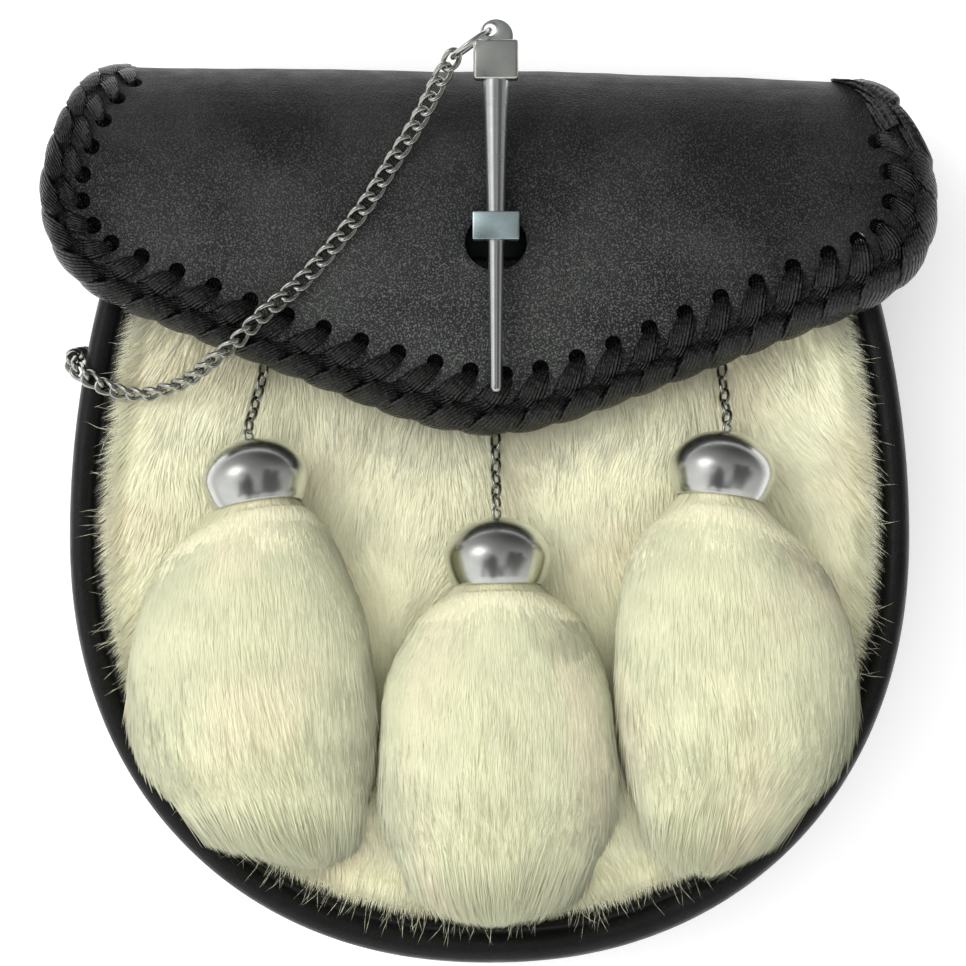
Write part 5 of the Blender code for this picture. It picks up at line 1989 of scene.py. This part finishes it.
    def brush(self, finishes: FinishSet) -> list[Object]:
        """Make the tassel's core and its hairs."""
        rows = self.sections(48)
        dense = smooth_curve(rows.reshape(len(rows), -1), 3).reshape(-1, 48, 3)
        name = "tassel_fur_" + self.side.value
        core = fitted(name, sweep([[Vector(point) for point in section] for section in dense]),
                finishes.underfur, "cream_fur", 80.0)
        return [core, stand_for(self.hair(name + "_hair", finishes), "cream_fur", name)]

    def hair(self, name: str, finishes: FinishSet) -> Object:
        """Grow the hairs from the neck and from all down the tassel.

        Args:
            name: the piece's name.
            finishes: the materials.

        Returns:
            The piece.
        """
        seed = {"left": 41, "centre": 42, "right": 43}[self.side.value]
        dice = np.random.default_rng(seed)
        skin = Skin(self.sections(96, ((1.6, 0.90, 0.76), (3.0, 0.72, 0.42), (3.9, 0.52, 0.12))))
        count = self.hairs
        around = dice.uniform(-0.13, 0.63, count)
        under = dice.random(count) < 0.08
        around = np.where(under, dice.uniform(0.63, 0.87, count), around)
        down = 6.0 + (skin.length - 12.0) * dice.random(count) ** 0.95
        length = np.minimum(dice.uniform(17.0, 32.0, count),
                skin.length - down + dice.uniform(0.5, 6.0, count))
        flat = np.stack((around * self.girth, down), axis=1)
        middle, clump = clumped(flat, 6.0, seed + 10)
        fine, strand = clumped(flat, 1.5, seed + 20)
        wave = 0.6 * ripple(flat, 26.0, seed) + 0.3 * ripple(flat, 10.0, seed + 1)
        loose = unit((down - 20.0) / 40.0)
        pull = (middle - flat)[:, 0] * 0.35 * loose + (fine - flat)[:, 0] * 0.5
        sway = (pull + wave * 6.5 * loose + dice.normal(0.0, 0.9, count)) / self.girth
        roots = skin.at(around, down)
        bends = skin.at(around + sway * 0.35, down + length * 0.42)
        tips = skin.at(around + sway, down + length)
        tips[:, 1] -= np.maximum(down + length - skin.length, 0.0) * dice.uniform(0, 0.22, count)
        spill = unit((down + length - skin.length + 6.0) / 6.0)[:, None]
        tips = tips * (1 - spill) + (roots + (bends - roots) * 1.9) * spill
        ups = skin.out(around, down)
        high, fluffy, pale, streak = tones(seed + 30, clump, strand)
        fluff = unit((down - 12.0) / 16.0)
        lift = (0.30 + 0.18 * high + 0.12 * fluffy) * fluff
        flyaway = (dice.random(count) > 0.93) * dice.uniform(0.5, 2.5, count) * loose
        limb = np.abs(np.cos(around * 2 * math.pi)) ** 3 * loose
        limb = limb * unit((75.0 - down - length * 0.6) / 20.0)
        flare = limb * dice.random(count) ** 2 * 4.5
        roots = roots - ups * 0.7
        bends = bends + ups * (0.12 + lift + dice.uniform(0.0, 0.35, count) * fluff)[:, None]
        tips = tips + ups * (0.05 + lift * 0.6 + flyaway + flare
                + dice.uniform(-0.3, 0.35, count) * fluff)[:, None]
        for points in (bends, tips):
            points[:, 2] = np.maximum(points[:, 2], self.pad_top - 0.2)
        shades = 1.01 + 0.02 * pale + 0.04 * streak
        shades += dice.uniform(-0.04, 0.03, count)
        # Painted shade on the lower end of the tassel, which faces away from the light.
        shades -= 0.13 * unit((down - 56.0) / 25.0)
        flush = (dice.random(count) > 0.985) * 0.4
        flush = flush + np.clip(0.6 * ripple(flat * (1.6, 0.7), 24.0, seed + 2) - 0.1, 0.0, 0.45)
        widths = dice.uniform(0.13, 0.24, count) * np.where(flyaway + flare > 0.5, 0.6, 1.0)
        return self.coat.piece(name, roots, bends, tips, ups, widths, shades, flush, finishes)


def tassels(coat: Coat) -> list[Tassel]:
    """Return the three tassels, with the fur's rows of y, left, right, underside and top."""
    left = ((-6.4, -63.4, -40.2, 50.4, 71.0), (-11.3, -71.0, -36.5, 48.2, 72.4),
            (-20.3, -76.6, -32.3, 47.3, 73.4), (-33.8, -80.0, -28.1, 47.3, 73.8),
            (-47.3, -80.5, -26.8, 47.3, 73.2), (-58.5, -78.1, -26.8, 47.3, 71.6),
            (-69.7, -70.5, -27.8, 47.4, 68.4), (-78.4, -55.5, -32.5, 47.8, 61.6))
    centre = ((-23.8, -9.8, 13.6, 50.4, 70.4), (-29.4, -16.6, 20.6, 48.2, 71.8),
            (-42.0, -22.8, 25.8, 47.3, 73.2), (-54.0, -23.9, 27.3, 47.3, 73.8),
            (-65.2, -23.9, 28.2, 47.3, 73.0), (-76.5, -22.6, 26.4, 47.3, 71.0),
            (-85.8, -17.4, 20.6, 47.5, 66.6), (-91.6, -9.2, 11.8, 47.9, 60.4))
    right = ((-5.6, 40.8, 63.6, 50.4, 71.0), (-11.3, 34.6, 71.4, 48.2, 72.4),
            (-20.3, 30.4, 77.4, 47.3, 73.4), (-33.8, 28.9, 81.6, 47.3, 73.8),
            (-46.0, 29.0, 82.0, 47.3, 73.2), (-58.0, 30.6, 79.8, 47.3, 71.6),
            (-69.5, 33.0, 72.0, 47.4, 68.4), (-79.8, 38.4, 59.4, 47.8, 61.8))
    rows = ((Side.LEFT, (-51.4, 33.6), (-54.2, 11.2), 9.0, 11.0, left),
            (Side.CENTRE, (1.4, 17.4), (1.6, -6.2), 1.0, 6.0, centre),
            (Side.RIGHT, (52.9, 33.4), (53.4, 13.0), -7.0, 9.0, right))
    return [Tassel(side, coat, eye, crown, math.radians(turn), math.radians(pitch), fur)
            for side, eye, crown, turn, pitch, fur in rows]


# ---- the studio


@dataclass
class Studio:
    """The pale floor, the soft light, and the camera straight above."""

    camera_place: tuple[float, float, float] = (-1.5, 2.6, 1045.0)
    lens: float = 163.4
    floor_half: float = 3000.0
    bright: float = 0.95
    sky: tuple = ((0.0, 0.55), (0.35, 0.58), (0.60, 0.60), (0.80, 0.52), (1.0, 0.40))
    falls: tuple[float, float] = (0.38, 0.82)
    glow: tuple = ((-0.63, 0.28, 0.73), 0.52, 4.2)      # direction, reach, greatest strength
    dark_shapes: tuple = (
        # direction, reach, share of light left
        ((-0.24, -0.30, 0.92), 0.32, 0.14), ((0.62, -0.16, 0.77), 0.34, 0.22),
        ((0.20, -0.42, 0.89), 0.16, 0.40),
    )

    def build(self) -> None:
        """Set everything up."""
        self.camera()
        self.floor()
        self.world()
        self.softbox("key_light", (-2240.0, 1000.0, 2590.0), (3300.0, 1700.0), 42.0)
        self.softbox("front_light", (0.0, -2600.0, 1900.0), (3600.0, 2400.0), 16.0)
        self.softbox("top_light", (0.0, 0.0, 3000.0), (3600.0, 3600.0), 50.0)
        bpy.context.scene.view_settings.view_transform = "Standard"

    def camera(self) -> None:
        """Hang the camera over the pouch."""
        data = bpy.data.cameras.new("camera")
        data.lens = self.lens
        data.sensor_width = 36.0
        item = placed("camera", data)
        item.location = Vector(self.camera_place) * MM
        bpy.context.scene.camera = item

    def floor(self) -> None:
        """Lay the floor."""
        shape = bmesh.new()
        bmesh.ops.create_grid(shape, x_segments=1, y_segments=1, size=self.floor_half)
        nodes = Nodes("floor_paper")
        where = nodes.place()
        away = nodes.add("ShaderNodeVectorMath", {0: where}, operation="LENGTH").outputs["Value"]
        tone = nodes.math("MULTIPLY", nodes.spread(nodes.noise(where, 300.0, 2.0), 0.90, 0.92),
                nodes.spread(away, 1.0, 0.45, 0.15, 0.45))
        paint = nodes.add("ShaderNodeCombineXYZ", {0: tone, 1: tone, 2: tone}).outputs[0]
        floor = finished("floor", shape, nodes.surface(
            Base_Color=paint, Roughness=0.8, Emission_Color=paint, Emission_Strength=0.36))
        floor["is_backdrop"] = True

    def world(self) -> None:
        """Paint the sky: bright round the horizon, softer overhead, darker behind the pouch."""
        sky = Sky("studio")
        way = sky.add("ShaderNodeTexCoord").outputs["Generated"]
        x, y, z = sky.add("ShaderNodeSeparateXYZ", {0: way}).outputs
        ramp = sky.add("ShaderNodeValToRGB", {0: z})
        for _ in range(len(self.sky) - 2):
            ramp.color_ramp.elements.new(0.5)
        for element, (position, tone) in zip(ramp.color_ramp.elements, self.sky):
            element.position = position
            element.color = (tone, tone, tone, 1.0)
        slope = sky.math("ADD", sky.math("MULTIPLY", x, self.falls[0]),
                sky.math("MULTIPLY", y, self.falls[1]))
        tone = sky.math("SUBTRACT", 1.0, slope)
        ragged = sky.math("MULTIPLY", sky.noise(way, 280.0, 2.0), 0.9)
        for place, reach, dark in self.dark_shapes:
            gap = sky.add("ShaderNodeVectorMath", {0: way, 1: place},
                    operation="DISTANCE").outputs["Value"]
            cover = sky.spread(sky.math("ADD", gap, ragged), dark, 1.0, reach + 0.40,
                    reach + 0.55)
            tone = sky.math("MULTIPLY", tone, cover)
        place, reach, peak = self.glow
        gap = sky.add("ShaderNodeVectorMath", {0: way, 1: place},
                operation="DISTANCE").outputs["Value"]
        glow = sky.spread(gap, peak ** 0.5, 0.0, 0.05, reach)
        tone = sky.math("ADD", tone, sky.math("MULTIPLY", glow, glow))
        sky.surface(Color=ramp.outputs[0], Strength=sky.math("MULTIPLY", tone, self.bright))

    @staticmethod
    def softbox(name: str, place: Sequence[float], size: Sequence[float], power: float) -> None:
        """Hang a softbox that faces the pouch, and that metal doesn't show."""
        data = bpy.data.lights.new(name, "AREA")
        data.shape = "ELLIPSE"
        data.size = size[0] * MM
        data.size_y = size[1] * MM
        data.energy = power
        item = placed(name, data)
        item.visible_glossy = False
        item.location = Vector(place) * MM
        aim = Vector((0, 0, 40.0)) - Vector(place)
        item.rotation_mode = "QUATERNION"
        item.rotation_quaternion = aim.to_track_quat("-Z", "Y")


def corners() -> list[list[float]]:
    """Return the lowest and highest corner of what is shown, as plain lists."""
    return [[float(value) for value in corner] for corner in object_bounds()]


def main() -> None:
    """Dress the whole pouch and set it in the studio."""
    logging.basicConfig(level=logging.INFO, format="%(message)s")
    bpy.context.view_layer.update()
    finishes = FinishSet()
    # One cream fur in two tones: the front's paler coat is painted light for the shade among the
    # tassels, and the tassels' darker coat is painted shade.
    tassel_coat = Coat()
    front_coat = Coat(tip=(0.985, 0.985, 0.755), root=(0.96, 0.925, 0.60))
    body = BodyForm()
    flap_form = FlapForm()
    lacing = Lacing(flap_form)
    clasp = Clasp()
    makers = [Pouch(body), BeltLoops(), FurFront(body, front_coat), Flap(flap_form, lacing.holes()),
            lacing, clasp, PinChain(clasp, body), *tassels(tassel_coat)]
    for maker in makers:
        for piece in maker.build(finishes):
            triangles = sum(len(face.vertices) - 2 for face in piece.data.polygons)
            LOG.info("%s: %d triangles", piece.name, triangles)
    Studio().build()
    bpy.context.view_layer.update()


if __name__ == "__main__":
    main()
